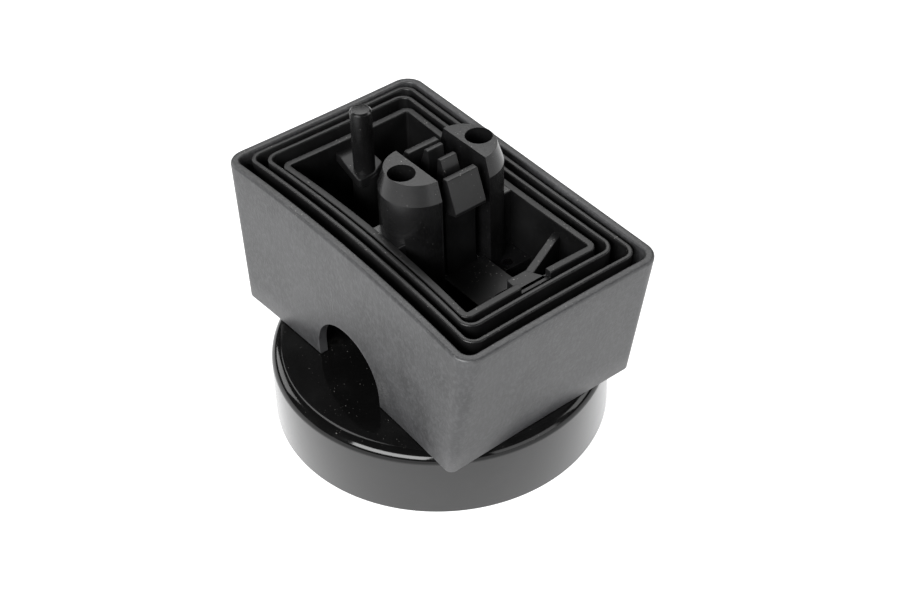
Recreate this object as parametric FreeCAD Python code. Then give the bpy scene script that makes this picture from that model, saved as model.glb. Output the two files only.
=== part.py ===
"""Swivel mounting block: a tapered open housing that turns on a round weighted base.

Two lift-up skirts nest between the housing and a fixed inner carrier, and two screw towers,
a pair of snap latches and a locating pin stand inside the carrier.

Millimetres, +Z up. The origin is on the floor, on the axis of the round base. +X runs along the
block's long side towards its lower end, and +Y towards its rear long side.
"""
import FreeCAD, Part
import math
import os

V = FreeCAD.Vector

# ---- Fits and clearances -------------------------------------------------------------------
RUNNING_FIT = 0.05          # radial clearance of a shaft that turns in a bore
THREAD_GAP = 0.05           # radial gap round a screw, bolt or nut
SEAT_GAP = 0.10             # gap between fixed pieces that drop beside each other
BLOCK_LIFT = 0.25           # gap between the block's lower edge and the base top

# ---- Round base ----------------------------------------------------------------------------
BASE_R = 43.0               # radius at the shoulder
BASE_FLARE = 0.3            # how much wider the cover is at its lower edge
BASE_TOP = 20.0             # height of the flat top
BASE_EDGE_R = 3.2           # round of the shoulder
FOOT_PROUD = 0.8            # how far the rubber ring stands below the cover
COVER_TOP_T = 3.0           # thickness of the cover's top
COVER_WALL_T = 2.4          # thickness of the cover's side
PLATE_T = 2.4               # thickness of the bottom plate
FOOT_RING_W = 4.5           # width of the rubber ring
FOOT_RING_IN = BASE_R - 4.0 - FOOT_RING_W  # inner radius of the rubber ring
FOOT_GROOVE = 1.0           # depth of the ring's groove in the plate
BOSS_PCD_R = FOOT_RING_IN - 4.5  # radius of the circle of cover bosses
BOSS_R = 3.6                # radius of a cover boss

# ---- Pivot ---------------------------------------------------------------------------------
PIVOT_R = 3.0               # pivot bolt shank
PIVOT_HEAD_R = PIVOT_R + 2.0    # pivot bolt head
PIVOT_HEAD_H = 4.0
PIVOT_HEX = 5.0             # key size of the socket in the head
HUB_R = PIVOT_R + 5.0       # post of the housing round the bolt
BUSH_WALL = 2.0             # wall of the flanged bush
BUSH_FLANGE_R = PIVOT_R + 5.0
BUSH_FLANGE_T = 1.0
PIVOT_BOSS_R = PIVOT_R + 7.5    # boss under the cover's top round the bush
PIVOT_BOSS_H = 5.0          # how far that boss hangs below the top wall
THRUST_R = HUB_R + 2.0      # radius of the thrust washer
THRUST_T = 1.4              # its thickness
THRUST_SINK = 1.2           # depth of its recess in the cover's top
WASHER_R = PIVOT_R + 3.0    # steel washers on the bolt
WASHER_T = 1.2
CUP_SPRING_T = 0.6          # sheet of the cup spring
CUP_SPRING_H = 1.4          # height of the cup spring
PIVOT_NUT_AF = 2 * PIVOT_R + 4.0  # across the flats of the lock nut
PIVOT_NUT_T = 5.0
LOCK_COLLAR = 1.2           # height of the lock nut's round collar
BOLT_TAIL = 1.0             # bolt end past the lock nut

# ---- Ballast -------------------------------------------------------------------------------
BALLAST_IN = PIVOT_BOSS_R + 2.0  # inner radius of the ballast ring
BALLAST_OUT = BOSS_PCD_R - BOSS_R - 0.9  # outer radius of the ballast ring
BALLAST_T = 8.0             # thickness of the ballast ring

# ---- Housing -------------------------------------------------------------------------------
RIM_LEFT = 47.5             # reach of the rim from the axis, towards -X
RIM_RIGHT = 48.2            # and towards +X
RIM_HALF_W = 29.5           # half width of the rim
TAPER_LEFT = 2.5            # how much the housing draws in to its lower edge, towards -X
TAPER_RIGHT = 8.0           # and towards +X
TAPER_SIDE = 0.8            # and on each long side
RIM_Z_LEFT = BASE_TOP + 43.0    # rim height at the high end
RIM_FALL = 2.8              # how much lower the rim is at the other end
CROWN = 1.3                 # rise of the rim at mid length over a straight slope
BOW_LONG = 1.1              # inward bow of the long sides
BOW_SHORT = 0.3             # inward bow of the short sides
CORNER_LOW_R = 2.0          # corner round at the lower edge
CORNER_RIM_R = 5.0          # corner round at the rim
HOUSING_T = 2.3             # wall of the housing
RIM_ROUND = 0.8             # round on the rim's outer edge
RIM_ROUND_IN = 0.5          # round on the rim's inner edge
DECK_Z = BASE_TOP + 20.0    # top of the housing's inner deck
DECK_T = 2.5                # thickness of the deck
ARCH_X = -0.8               # centre of the cable arch along the long side
ARCH_R = 12.5               # radius of the cable arch
ARCH_SPRING = 3.7           # straight part of the arch above the base top

# ---- Skirts --------------------------------------------------------------------------------
SKIRT_T = 1.3               # wall of both skirts
SKIRT_DROP = 0.35           # how far the skirt rims lie below the housing rim
SKIRT_ROUND = 0.4           # round of the skirt rims
OUTER_SKIRT_GAP = (0.7, 2.3, 1.9)    # room at the rim to the housing: left, right, long sides
OUTER_SKIRT_DRAFT = (2.4, 3.0, 0.3)  # how much it draws in to its foot: left, right, long sides
OUTER_SKIRT_SETTLE = 0.8    # the outer skirt lies this far off centre, towards +Y
INNER_SKIRT_GAP = (1.6, 3.1, 1.6)    # room at the rim to the outer skirt
INNER_SKIRT_DRAFT = (1.2, 1.2, 0.0)
INNER_SKIRT_SETTLE = 0.7
SKIRT_CORNER_R = 3.6

# ---- Carrier -------------------------------------------------------------------------------
CARRIER_GAP = (4.1, 1.7, 1.1)        # room at the rim to the inner skirt
CARRIER_T = 1.9             # wall of the carrier
CARRIER_DROP = 0.5          # how far its rim lies below the housing rim
CARRIER_CORNER_R = 2.4
CARRIER_FLOOR_T = 2.0
NOTCH_Y0 = -3.4             # notch in the carrier's +X end
NOTCH_Y1 = 5.2
SILL_Z = BASE_TOP + 39.0    # top of the sill behind the notch
SILL_REACH = 5.2            # how far the sill reaches into the carrier
BRACE_Z = BASE_TOP + 38.2   # top of the diagonal brace
BRACE_T = 2.1
BRACE_START = (11.9, 3.1)   # end of the brace at the rear wall, measured in from the carrier's corner
BRACE_END = (5.2, 2.2)      # end of the brace at the sill: in from the carrier's end, and Y
PIN_X = -24.2
PIN_Y = -3.0
PIN_R = 2.75
PIN_TOP = BASE_TOP + 57.8
PIN_CHAMFER = 0.5
PIN_SOCKET = 9.0            # depth of the pin's spigot in its post
PIN_SPIGOT_R = 1.9          # radius of that spigot
PIN_POST_R = 3.2
PIN_SHELF_Z = BASE_TOP + 40.2   # top of the shelf round the pin
PIN_SHELF_T = 2.6

# ---- Towers --------------------------------------------------------------------------------
TOWER_X = 3.0               # the towers, latches and tabs are centred here
LATCH_HALF_W = 4.5          # half width of a latch
LATCH_SIDE_GAP = 2.5        # gap between a latch and a tower's flat
TOWER_FLAT = LATCH_HALF_W + LATCH_SIDE_GAP  # distance of the flats from the centre plane
TOWER_R = 9.3
TOWER_TOP = BASE_TOP + 58.0
TOWER_CAP_H = 5.0           # height of the chamfered cap
TOWER_CAP_IN = 1.55         # how much the cap draws in
TOWER_SCREW_R = 3.0         # the M6 screw that a tower takes
BORE_R = TOWER_SCREW_R + 0.3    # its clearance hole
BORE_OFFSET = 4.4           # bore axis from the flat
NUT_AF = 10.0               # across the flats of its nut
NUT_T = 5.0                 # height of its nut
TOWER_FOOT_H = 4.0
TOWER_FOOT_REACH = TOWER_R + 3.2    # half length of the foot along X
TOWER_TOE_Y = TOWER_FLAT - 1.4  # inner face of the widened toe round the nut
TOWER_TOE_REACH = 6.6       # half length of that toe along X
TOWER_SCREW_REACH = TOWER_R + 1.0   # foot screws from the tower's centre along X
TOWER_SCREW_OFFSET = 4.6    # and from the flat
WEB_HALF_W = 5.0            # web from the tower to the carrier wall

# ---- Latches and tabs ----------------------------------------------------------------------
LATCH_BLOCK_Z = DECK_Z + 8.5    # top of the raised block that holds the latches
LATCH_BLOCK_LOW_Y = 1.2 - TOWER_FLAT
LATCH_BLOCK_HIGH_Y = TOWER_FLAT - 0.2
LATCH_BLOCK_LEFT = 18.0     # reach from the towers' centre, towards -X
LATCH_BLOCK_RIGHT = 20.0
LATCH_BLOCK_WIDE_X = 7.0    # the block is wide past this distance from the towers' centre
LATCH_BLOCK_WAIST = TOWER_TOE_Y - 0.3  # half width of its narrow middle
LATCH_TONGUE = 6.0          # narrow tongue of the block past its right end
LATCH_TONGUE_Y1 = -0.6
LATCH_BACK = 5.0            # back of the stem from the towers' centre
LATCH_STEM_T = 2.0
LATCH_NOSE = 11.0           # nose from the towers' centre
LATCH_NOSE_Z = BASE_TOP + 48.2
LATCH_NOSE_LIP = 0.8
LATCH_TOP_Z = BASE_TOP + 56.7
LATCH_TOP_BACK = 6.3
LATCH_TOP_T = 1.7
LATCH_ROOT_R = 1.6          # barrel root of a latch
LATCH_ROOT_Z = DECK_Z + 5.0
LATCH_SLOT_BACK = 0.32      # swing room behind the stem
LATCH_SLOT_FACE = 0.13      # and in front of it
TAB_HALF_W = 2.35
TAB_BACK = 1.4              # back of the stem from the towers' centre
TAB_STEM_T = 1.6
TAB_NOSE = 4.6
TAB_NOSE_Z = BASE_TOP + 53.8
TAB_NOSE_LIP = 0.7
TAB_TOP_Z = BASE_TOP + 58.8
TAB_TOP_T = 1.2
TAB_ROOT = 3.0              # depth of a tab's root in the block

# ---- Small screws --------------------------------------------------------------------------
SCREW_R = 1.25
SCREW_HEAD_R = 2.6
SCREW_HEAD_H = 1.8
SCREW_BITE = 6.0            # thread length in the piece that is held
CARRIER_SCREW_IN = (6.7, 7.0)    # screw posts, measured in from the carrier's outer corner
CARRIER_POST_R = 3.2
CARRIER_POST_H = 5.5

# ---- Derived heights and radii -------------------------------------------------------------
COVER_LOW = FOOT_PROUD
COVER_UNDER = BASE_TOP - COVER_TOP_T
PLATE_TOP = COVER_LOW + PLATE_T
PLATE_R = BASE_R - COVER_WALL_T - SEAT_GAP
BLOCK_LOW = BASE_TOP + BLOCK_LIFT
DECK_LOW = DECK_Z - DECK_T
FLOOR_TOP = DECK_Z + CARRIER_FLOOR_T
LOW_LEFT = RIM_LEFT - TAPER_LEFT
LOW_RIGHT = RIM_RIGHT - TAPER_RIGHT
LOW_HALF_W = RIM_HALF_W - TAPER_SIDE
RIM_Z_RIGHT = RIM_Z_LEFT - RIM_FALL
RIM_MID_X = (RIM_RIGHT - RIM_LEFT) / 2
RIM_HALF_L = (RIM_RIGHT + RIM_LEFT) / 2
PIVOT_BORE_R = PIVOT_R + RUNNING_FIT
BUSH_R = PIVOT_BORE_R + BUSH_WALL
THRUST_TOP = BASE_TOP - THRUST_SINK + THRUST_T
BUSH_LOW = COVER_UNDER - PIVOT_BOSS_H
CUP_SPRING_TOP = BUSH_LOW - BUSH_FLANGE_T
LOW_WASHER_TOP = CUP_SPRING_TOP - CUP_SPRING_H
LOCK_NUT_TOP = LOW_WASHER_TOP - WASHER_T
BOLT_LOW = LOCK_NUT_TOP - PIVOT_NUT_T - BOLT_TAIL
TOP = RIM_Z_LEFT + 37.0      # above every piece, for cutting tools
HEAD_SEAT = FLOOR_TOP - SEAT_GAP - PIVOT_HEAD_H - WASHER_T


def nest(outline, wall, gap):
    """Left, right and half width of a frame inside another's wall, with the given gaps."""
    return tuple(size - wall - room for size, room in zip(outline, gap))


OUTER_SKIRT = nest((RIM_LEFT, RIM_RIGHT, RIM_HALF_W), HOUSING_T, OUTER_SKIRT_GAP)
INNER_SKIRT = nest(OUTER_SKIRT, SKIRT_T, INNER_SKIRT_GAP)
CARRIER = nest(INNER_SKIRT, SKIRT_T, CARRIER_GAP)
CARRIER_LEFT, CARRIER_RIGHT, CARRIER_HALF_W = CARRIER
CARRIER_SCREW_XS = (CARRIER_SCREW_IN[0] - CARRIER_LEFT, CARRIER_RIGHT - CARRIER_SCREW_IN[0])
CARRIER_SCREW_Y = CARRIER_HALF_W - CARRIER_SCREW_IN[1]


def box(x0, x1, y0, y1, z0, z1):
    """A box between two corners."""
    return Part.makeBox(x1 - x0, y1 - y0, z1 - z0, V(x0, y0, z0))


def cylinder(r, z0, z1, x=0.0, y=0.0):
    """An upright cylinder."""
    return Part.makeCylinder(r, z1 - z0, V(x, y, z0))


def ring(r_out, r_in, z0, z1, x=0.0, y=0.0):
    """An upright ring."""
    return cylinder(r_out, z0, z1, x, y).cut(cylinder(r_in, z0 - 1, z1 + 1, x, y))


def prism(points, z0, z1):
    """A polygon in plan, drawn up from z0 to z1."""
    loop = [V(x, y, z0) for x, y in points]
    return Part.Face(Part.makePolygon(loop + [loop[0]])).extrude(V(0, 0, z1 - z0))


def side_prism(points, y0, y1):
    """A polygon in the XZ plane, drawn along Y."""
    loop = [V(x, y0, z) for x, z in points]
    return Part.Face(Part.makePolygon(loop + [loop[0]])).extrude(V(0, y1 - y0, 0))


def revolve(points):
    """A closed profile of (radius, height) turned about the Z axis."""
    loop = [V(r, 0, z) for r, z in points]
    return Part.Face(Part.makePolygon(loop + [loop[0]])).revolve(V(0, 0, 0), V(0, 0, 1), 360)


def hexagon(across_flats, z0, z1, x=0.0, y=0.0):
    """An upright hexagonal prism with two flats facing +Y and -Y."""
    corner = across_flats / math.sqrt(3)
    angles = [math.radians(60 * i) for i in range(6)]
    return prism([(x + corner * math.cos(a), y + corner * math.sin(a)) for a in angles], z0, z1)


def fuse_all(shapes):
    """One clean solid from touching or overlapping shapes."""
    body = shapes[0]
    for other in shapes[1:]:
        body = body.fuse(other)
    return body.removeSplitter()


def cut_all(body, tools):
    """The body less every tool."""
    for tool in tools:
        body = body.cut(tool)
    return body


def corner_round(half_x, half_y, corner):
    """Centre and tangent points of the round that blends a bowed long side into a bowed short side."""
    long_r = (half_x ** 2 + BOW_LONG ** 2) / (2 * BOW_LONG)
    short_r = (half_y ** 2 + BOW_SHORT ** 2) / (2 * BOW_SHORT)
    long_mid = V(0, half_y - BOW_LONG + long_r, 0)
    short_mid = V(half_x - BOW_SHORT + short_r, 0, 0)
    x, y = half_x - corner, half_y - corner
    for _ in range(20):
        x = short_mid.x - math.sqrt((short_r + corner) ** 2 - y ** 2)
        y = long_mid.y - math.sqrt((long_r + corner) ** 2 - x ** 2)
    centre = V(x, y, 0)
    to_long = (long_mid - centre).normalize() * corner
    to_short = (short_mid - centre).normalize() * corner
    return centre, to_long, to_short


def ring_outline(left, right, front, rear, corner, z):
    """A rounded rectangle at height z whose four sides bow inwards and meet the corners smoothly."""
    mid = V((left + right) / 2, (front + rear) / 2, z)
    half_x, half_y = (right - left) / 2, (rear - front) / 2
    centre, to_long, to_short = corner_round(half_x, half_y, corner)
    on_long, on_short = centre + to_long, centre + to_short
    on_corner = centre + (to_long + to_short).normalize() * corner

    def place(point, sx, sy):
        return mid + V(sx * point.x, sy * point.y, 0)

    def arc(a, m, b):
        return Part.Arc(a, m, b).toShape()

    edges = []
    for sx, sy in ((1, -1), (1, 1), (-1, 1), (-1, -1)):
        corner_arc = [place(p, sx, sy) for p in (on_long, on_corner, on_short)]
        if sx == sy:
            corner_arc.reverse()
        edges.append(arc(*corner_arc))
    long_mid, short_mid = V(0, half_y - BOW_LONG, 0), V(half_x - BOW_SHORT, 0, 0)
    edges.insert(1, arc(place(on_short, 1, -1), place(short_mid, 1, 0), place(on_short, 1, 1)))
    edges.insert(3, arc(place(on_long, 1, 1), place(long_mid, 1, 1), place(on_long, -1, 1)))
    edges.insert(5, arc(place(on_short, -1, 1), place(short_mid, -1, 0), place(on_short, -1, -1)))
    edges.append(arc(place(on_long, -1, -1), place(long_mid, 1, -1), place(on_long, 1, -1)))
    return Part.Wire(edges)


def rim_height(x):
    """Height of the housing rim's slope and crown at x."""
    slope = (RIM_Z_RIGHT - RIM_Z_LEFT) / (RIM_RIGHT + RIM_LEFT)
    straight = RIM_Z_LEFT + slope * (x + RIM_LEFT)
    return straight + CROWN * (1 - ((x - RIM_MID_X) / RIM_HALF_L) ** 2)


def above_rim(drop):
    """Everything higher than the crowned rim surface lowered by drop."""
    reach = RIM_HALF_L * 1.3
    left, right = RIM_MID_X - reach, RIM_MID_X + reach
    wide = RIM_HALF_W * 2
    a = V(left, -wide, rim_height(left) - drop)
    m = V(RIM_MID_X, -wide, rim_height(RIM_MID_X) - drop)
    b = V(right, -wide, rim_height(right) - drop)
    c, d = V(right, -wide, TOP), V(left, -wide, TOP)
    edges = [Part.Arc(a, m, b).toShape()]
    edges += [Part.LineSegment(p, q).toShape() for p, q in ((b, c), (c, d), (d, a))]
    return Part.Face(Part.Wire(edges)).extrude(V(0, 2 * wide, 0))


def taper(low, high, z_low, z_high, inset=0.0):
    """A solid between two ring outlines, each given as (left, right, half width, centre y, corner)."""
    wires = []
    for (left, right, half, mid, corner), z in ((low, z_low), (high, z_high)):
        wires.append(ring_outline(-left + inset, right - inset, mid - half + inset,
                                  mid + half - inset, max(corner - inset, 0.6), z))
    return Part.makeLoft(wires, True, True)


def extend(low, high, z_low, z_high, z):
    """The outline that the straight taper from low to high has at height z."""
    share = (z - z_low) / (z_high - z_low)
    return tuple(a + (b - a) * share for a, b in zip(low, high))


def round_rim(body, drop, radius, probe):
    """Rounds those rim edges of a frame whose middles the probe accepts."""
    edges = []
    for edge in body.Edges:
        mid = edge.valueAt((edge.FirstParameter + edge.LastParameter) / 2)
        on_rim = abs(mid.z - (rim_height(mid.x) - drop)) < 0.02
        if on_rim and edge.Length > 0.5 and probe(mid):
            edges.append(edge)
    return body.makeFillet(radius, edges)


HOUSING_LOW = (LOW_LEFT, LOW_RIGHT, LOW_HALF_W, 0.0, CORNER_LOW_R)
HOUSING_HIGH = (RIM_LEFT, RIM_RIGHT, RIM_HALF_W, 0.0, CORNER_RIM_R)
HOUSING_TOP_Z = RIM_Z_LEFT + 2 * CROWN
HOUSING_TOP = extend(HOUSING_LOW, HOUSING_HIGH, BLOCK_LOW, (RIM_Z_LEFT + RIM_Z_RIGHT) / 2, HOUSING_TOP_Z)


def frame_sizes(rim, settle, draft):
    """Foot and rim outlines of a frame that stands on the deck, the rim one at HOUSING_TOP_Z."""
    high = rim + (settle, SKIRT_CORNER_R)
    low = tuple(size - less for size, less in zip(rim, draft)) + (settle, SKIRT_CORNER_R)
    return low, extend(low, high, DECK_Z, (RIM_Z_LEFT + RIM_Z_RIGHT) / 2, HOUSING_TOP_Z)


def inside(low, high, z_low, wall):
    """A probe that is true for points on a frame's inner half."""
    middle = taper(low, high, z_low, HOUSING_TOP_Z, wall / 2)
    return lambda point: middle.isInside(point, 1e-6, True)


# ---- Round base ----------------------------------------------------------------------------

def boss_spots():
    """Centres of the four cover bosses."""
    return [(BOSS_PCD_R * math.cos(math.radians(a)), BOSS_PCD_R * math.sin(math.radians(a)))
            for a in (45, 135, 225, 315)]


def make_base_cover():
    """Gloss cup with a rounded shoulder, screw bosses and the pivot's boss."""
    low_r = BASE_R + BASE_FLARE
    outer = revolve([(0, COVER_LOW), (low_r, COVER_LOW), (BASE_R, BASE_TOP), (0, BASE_TOP)])
    shoulder = [e for e in outer.Edges if abs(e.BoundBox.ZMin - BASE_TOP) < 1e-6 and e.Length > BASE_R]
    outer = outer.makeFillet(BASE_EDGE_R, shoulder)
    hollow = revolve([(0, COVER_LOW - 1), (low_r - COVER_WALL_T, COVER_LOW - 1),
                      (BASE_R - COVER_WALL_T, PLATE_TOP), (BASE_R - COVER_WALL_T, COVER_UNDER),
                      (0, COVER_UNDER)])
    bosses = [cylinder(BOSS_R, PLATE_TOP, COVER_UNDER + 1, x, y) for x, y in boss_spots()]
    body = fuse_all([outer.cut(hollow), cylinder(PIVOT_BOSS_R, BUSH_LOW, COVER_UNDER + 1)] + bosses)
    tools = [cylinder(SCREW_R + THREAD_GAP, PLATE_TOP - 1, PLATE_TOP + SCREW_BITE + 1, x, y)
             for x, y in boss_spots()]
    tools.append(cylinder(BUSH_R, BUSH_LOW - 1, TOP))
    tools.append(cylinder(THRUST_R + SEAT_GAP, BASE_TOP - THRUST_SINK, TOP))
    return cut_all(body, tools)


def make_base_plate():
    """Bottom plate with the rubber ring's groove, screw recesses and a hole for the nut."""
    plate = cylinder(PLATE_R, COVER_LOW, PLATE_TOP)
    tools = [ring(FOOT_RING_IN + FOOT_RING_W, FOOT_RING_IN, COVER_LOW - 1, COVER_LOW + FOOT_GROOVE),
             cylinder(PIVOT_NUT_AF, COVER_LOW - 1, PLATE_TOP + 1)]
    for x, y in boss_spots():
        tools.append(cylinder(SCREW_R + SEAT_GAP, COVER_LOW - 1, PLATE_TOP + 1, x, y))
        tools.append(cylinder(SCREW_HEAD_R + SEAT_GAP, COVER_LOW - 1, PLATE_TOP - SCREW_HEAD_H / 3, x, y))
    return cut_all(plate, tools)


def make_base_screws():
    """Four pan screws that hold the plate to the cover."""
    seat = PLATE_TOP - SCREW_HEAD_H / 3
    return Part.makeCompound([make_screw(x, y, seat, PLATE_TOP + SCREW_BITE, SCREW_HEAD_H * 0.75)
                              for x, y in boss_spots()])


def make_screw(x, y, seat, tip, head_h=SCREW_HEAD_H):
    """A pan screw driven upwards: its head's top is at seat and its thread ends at tip."""
    head = cylinder(SCREW_HEAD_R, seat - head_h, seat, x, y)
    low_rim = [e for e in head.Edges if abs(e.BoundBox.ZMax - (seat - head_h)) < 1e-6]
    head = head.makeFillet(head_h * 0.45, low_rim)
    cross = [box(x - 1.3, x + 1.3, y - 0.25, y + 0.25, seat - head_h - 1, seat - head_h * 0.5),
             box(x - 0.25, x + 0.25, y - 1.3, y + 1.3, seat - head_h - 1, seat - head_h * 0.5)]
    return cut_all(fuse_all([head, cylinder(SCREW_R, seat - 0.2, tip, x, y)]), cross)


def make_foot_ring():
    """Rubber ring that the base stands on."""
    edge = SEAT_GAP
    return ring(FOOT_RING_IN + FOOT_RING_W - edge, FOOT_RING_IN + edge, 0.0, COVER_LOW + FOOT_GROOVE)


def make_ballast_ring():
    """Steel ring that lies on the bottom plate."""
    body = ring(BALLAST_OUT, BALLAST_IN, PLATE_TOP, PLATE_TOP + BALLAST_T)
    return body.makeChamfer(0.5, [e for e in body.Edges if abs(e.BoundBox.ZLength) < 1e-6])


def make_pivot_bush():
    """Flanged bush pressed up into the cover."""
    sleeve = ring(BUSH_R, PIVOT_BORE_R, BUSH_LOW - BUSH_FLANGE_T, BASE_TOP - THRUST_SINK)
    flange = ring(BUSH_FLANGE_R, PIVOT_BORE_R, BUSH_LOW - BUSH_FLANGE_T, BUSH_LOW)
    return fuse_all([sleeve, flange])


def make_thrust_washer():
    """Slippery washer in the cover's top that carries the block's hub."""
    return ring(THRUST_R, PIVOT_R + SEAT_GAP * 2, BASE_TOP - THRUST_SINK, THRUST_TOP)


# ---- Pivot ---------------------------------------------------------------------------------

def make_pivot_bolt():
    """Socket-head bolt through the hub, the bush and the lock nut."""
    head_low = HEAD_SEAT + WASHER_T
    head = cylinder(PIVOT_HEAD_R, head_low, head_low + PIVOT_HEAD_H)
    head = head.cut(hexagon(PIVOT_HEX, head_low + PIVOT_HEAD_H / 2, TOP))
    shank = cylinder(PIVOT_R, BOLT_LOW, head_low + 0.2)
    tip = [e for e in shank.Edges if abs(e.BoundBox.ZMax - BOLT_LOW) < 1e-6]
    return fuse_all([head, shank.makeChamfer(0.6, tip)])


def make_head_washer():
    """Steel washer under the bolt's head."""
    return ring(PIVOT_HEAD_R, PIVOT_R + SEAT_GAP, HEAD_SEAT, HEAD_SEAT + WASHER_T)


def make_cup_spring():
    """Cup spring that keeps the swivel firm."""
    r_in = PIVOT_R + SEAT_GAP * 2
    rise = CUP_SPRING_H - CUP_SPRING_T
    low = LOW_WASHER_TOP
    return revolve([(r_in, low + rise), (WASHER_R, low), (WASHER_R, low + CUP_SPRING_T),
                    (r_in, low + rise + CUP_SPRING_T)])


def make_low_washer():
    """Steel washer between the cup spring and the lock nut."""
    return ring(WASHER_R, PIVOT_R + SEAT_GAP, LOCK_NUT_TOP, LOW_WASHER_TOP)


def make_nut(across, height, thread_r, top, x, y, collar=0.0):
    """A hexagon nut with its upper face at top, and a round locking collar below if one is set."""
    low = top - height
    cone_low, cone_high = across / 2 - 0.1, across / 2 + height + 0.9
    body = hexagon(across, low + collar, top, x, y)
    body = body.common(Part.makeCone(cone_high, cone_low, height + 1.0, V(x, y, low - 1.0)))
    if collar:
        body = fuse_all([body, cylinder(across / 2 - 0.4, low, low + collar + 0.2, x, y)])
    else:
        body = body.common(Part.makeCone(cone_low, cone_high, height + 1.0, V(x, y, low)))
    return body.cut(cylinder(thread_r + THREAD_GAP, low - 1, top + 1, x, y))


# ---- Housing -------------------------------------------------------------------------------

def corner_screw_spots():
    """Centres of the screws in the carrier's four corner posts."""
    return [(x, sy * CARRIER_SCREW_Y) for x in CARRIER_SCREW_XS for sy in (-1, 1)]


def carrier_screw_spots():
    """Corner screws of the carrier, and those of the latch block and the tower feet."""
    spots = corner_screw_spots()
    spots += [(TOWER_X + LATCH_BLOCK_RIGHT - 4.0, 0.0), (TOWER_X - LATCH_BLOCK_LEFT + 3.0, 0.0)]
    for side in (-1, 1):
        y = side * (TOWER_FLAT + TOWER_SCREW_OFFSET)
        spots += [(TOWER_X - TOWER_SCREW_REACH, y), (TOWER_X + TOWER_SCREW_REACH, y)]
    return spots


def make_housing():
    """Tapered outer housing with an inner deck, the pivot's hub and an arch in both long walls."""
    outer = taper(HOUSING_LOW, HOUSING_TOP, BLOCK_LOW, HOUSING_TOP_Z)
    hollow = taper(extend(HOUSING_LOW, HOUSING_TOP, BLOCK_LOW, HOUSING_TOP_Z, BLOCK_LOW - 1),
                   extend(HOUSING_LOW, HOUSING_TOP, BLOCK_LOW, HOUSING_TOP_Z, HOUSING_TOP_Z + 1),
                   BLOCK_LOW - 1, HOUSING_TOP_Z + 1, HOUSING_T)
    far = RIM_HALF_L * 2
    deck_zone = box(-far, far, -far, far, DECK_LOW, DECK_Z)
    walls = outer.cut(hollow)
    arch_z = BASE_TOP + ARCH_SPRING
    arch = Part.makeCylinder(ARCH_R, 2 * far, V(ARCH_X, -far, arch_z), V(0, 1, 0))
    legs = box(ARCH_X - ARCH_R, ARCH_X + ARCH_R, -far, far, BLOCK_LOW - 1, arch_z)
    walls = cut_all(walls, [arch, legs, above_rim(0.0)])
    middle = inside(HOUSING_LOW, HOUSING_TOP, BLOCK_LOW, HOUSING_T)
    walls = round_rim(walls, 0.0, RIM_ROUND, lambda p: not middle(p))
    walls = round_rim(walls, 0.0, RIM_ROUND_IN, middle)
    body = fuse_all([walls, outer.common(deck_zone), cylinder(HUB_R, THRUST_TOP, DECK_LOW + 0.5)])
    tools = [cylinder(PIVOT_R + SEAT_GAP, BLOCK_LOW - 2, TOP),
             cylinder(PIVOT_HEAD_R + SEAT_GAP, HEAD_SEAT, TOP)]
    tools += [cylinder(SCREW_R + SEAT_GAP, DECK_LOW - 1, TOP, x, y) for x, y in carrier_screw_spots()]
    return cut_all(body, tools)


# ---- Skirts --------------------------------------------------------------------------------

def make_skirt(rim, settle, draft):
    """A thin open frame that stands on the deck."""
    low, high = frame_sizes(rim, settle, draft)
    outer = taper(low, high, DECK_Z, HOUSING_TOP_Z)
    hollow = taper(extend(low, high, DECK_Z, HOUSING_TOP_Z, DECK_Z - 1),
                   extend(low, high, DECK_Z, HOUSING_TOP_Z, HOUSING_TOP_Z + 1),
                   DECK_Z - 1, HOUSING_TOP_Z + 1, SKIRT_T)
    body = outer.cut(hollow).cut(above_rim(SKIRT_DROP))
    return round_rim(body, SKIRT_DROP, SKIRT_ROUND, lambda point: True)


def make_outer_skirt():
    """Lift-up skirt next to the housing wall."""
    return make_skirt(OUTER_SKIRT, OUTER_SKIRT_SETTLE, OUTER_SKIRT_DRAFT)


def make_inner_skirt():
    """Lift-up skirt next to the carrier wall."""
    return make_skirt(INNER_SKIRT, INNER_SKIRT_SETTLE, INNER_SKIRT_DRAFT)


# ---- Carrier -------------------------------------------------------------------------------

CARRIER_PLAN = (CARRIER_LEFT, CARRIER_RIGHT, CARRIER_HALF_W, 0.0, CARRIER_CORNER_R)


def carrier_solid(inset, z0, z1):
    """The space inside the carrier's outer face, drawn in by inset, from z0 to z1."""
    return taper(CARRIER_PLAN, CARRIER_PLAN, z0, z1, inset)


def brace_outline():
    """Plan of the diagonal brace."""
    x0, y0 = CARRIER_RIGHT - BRACE_START[0], CARRIER_HALF_W - BRACE_START[1]
    x1, y1 = CARRIER_RIGHT - BRACE_END[0], BRACE_END[1]
    length = math.hypot(x1 - x0, y1 - y0)
    ux, uy = (x1 - x0) / length, (y1 - y0) / length
    nx, ny = -uy * BRACE_T / 2, ux * BRACE_T / 2
    x0, y0 = x0 - ux * BRACE_T, y0 - uy * BRACE_T
    return [(x0 + nx, y0 + ny), (x1 + nx, y1 + ny), (x1 - nx, y1 - ny), (x0 - nx, y0 - ny)]


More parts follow.
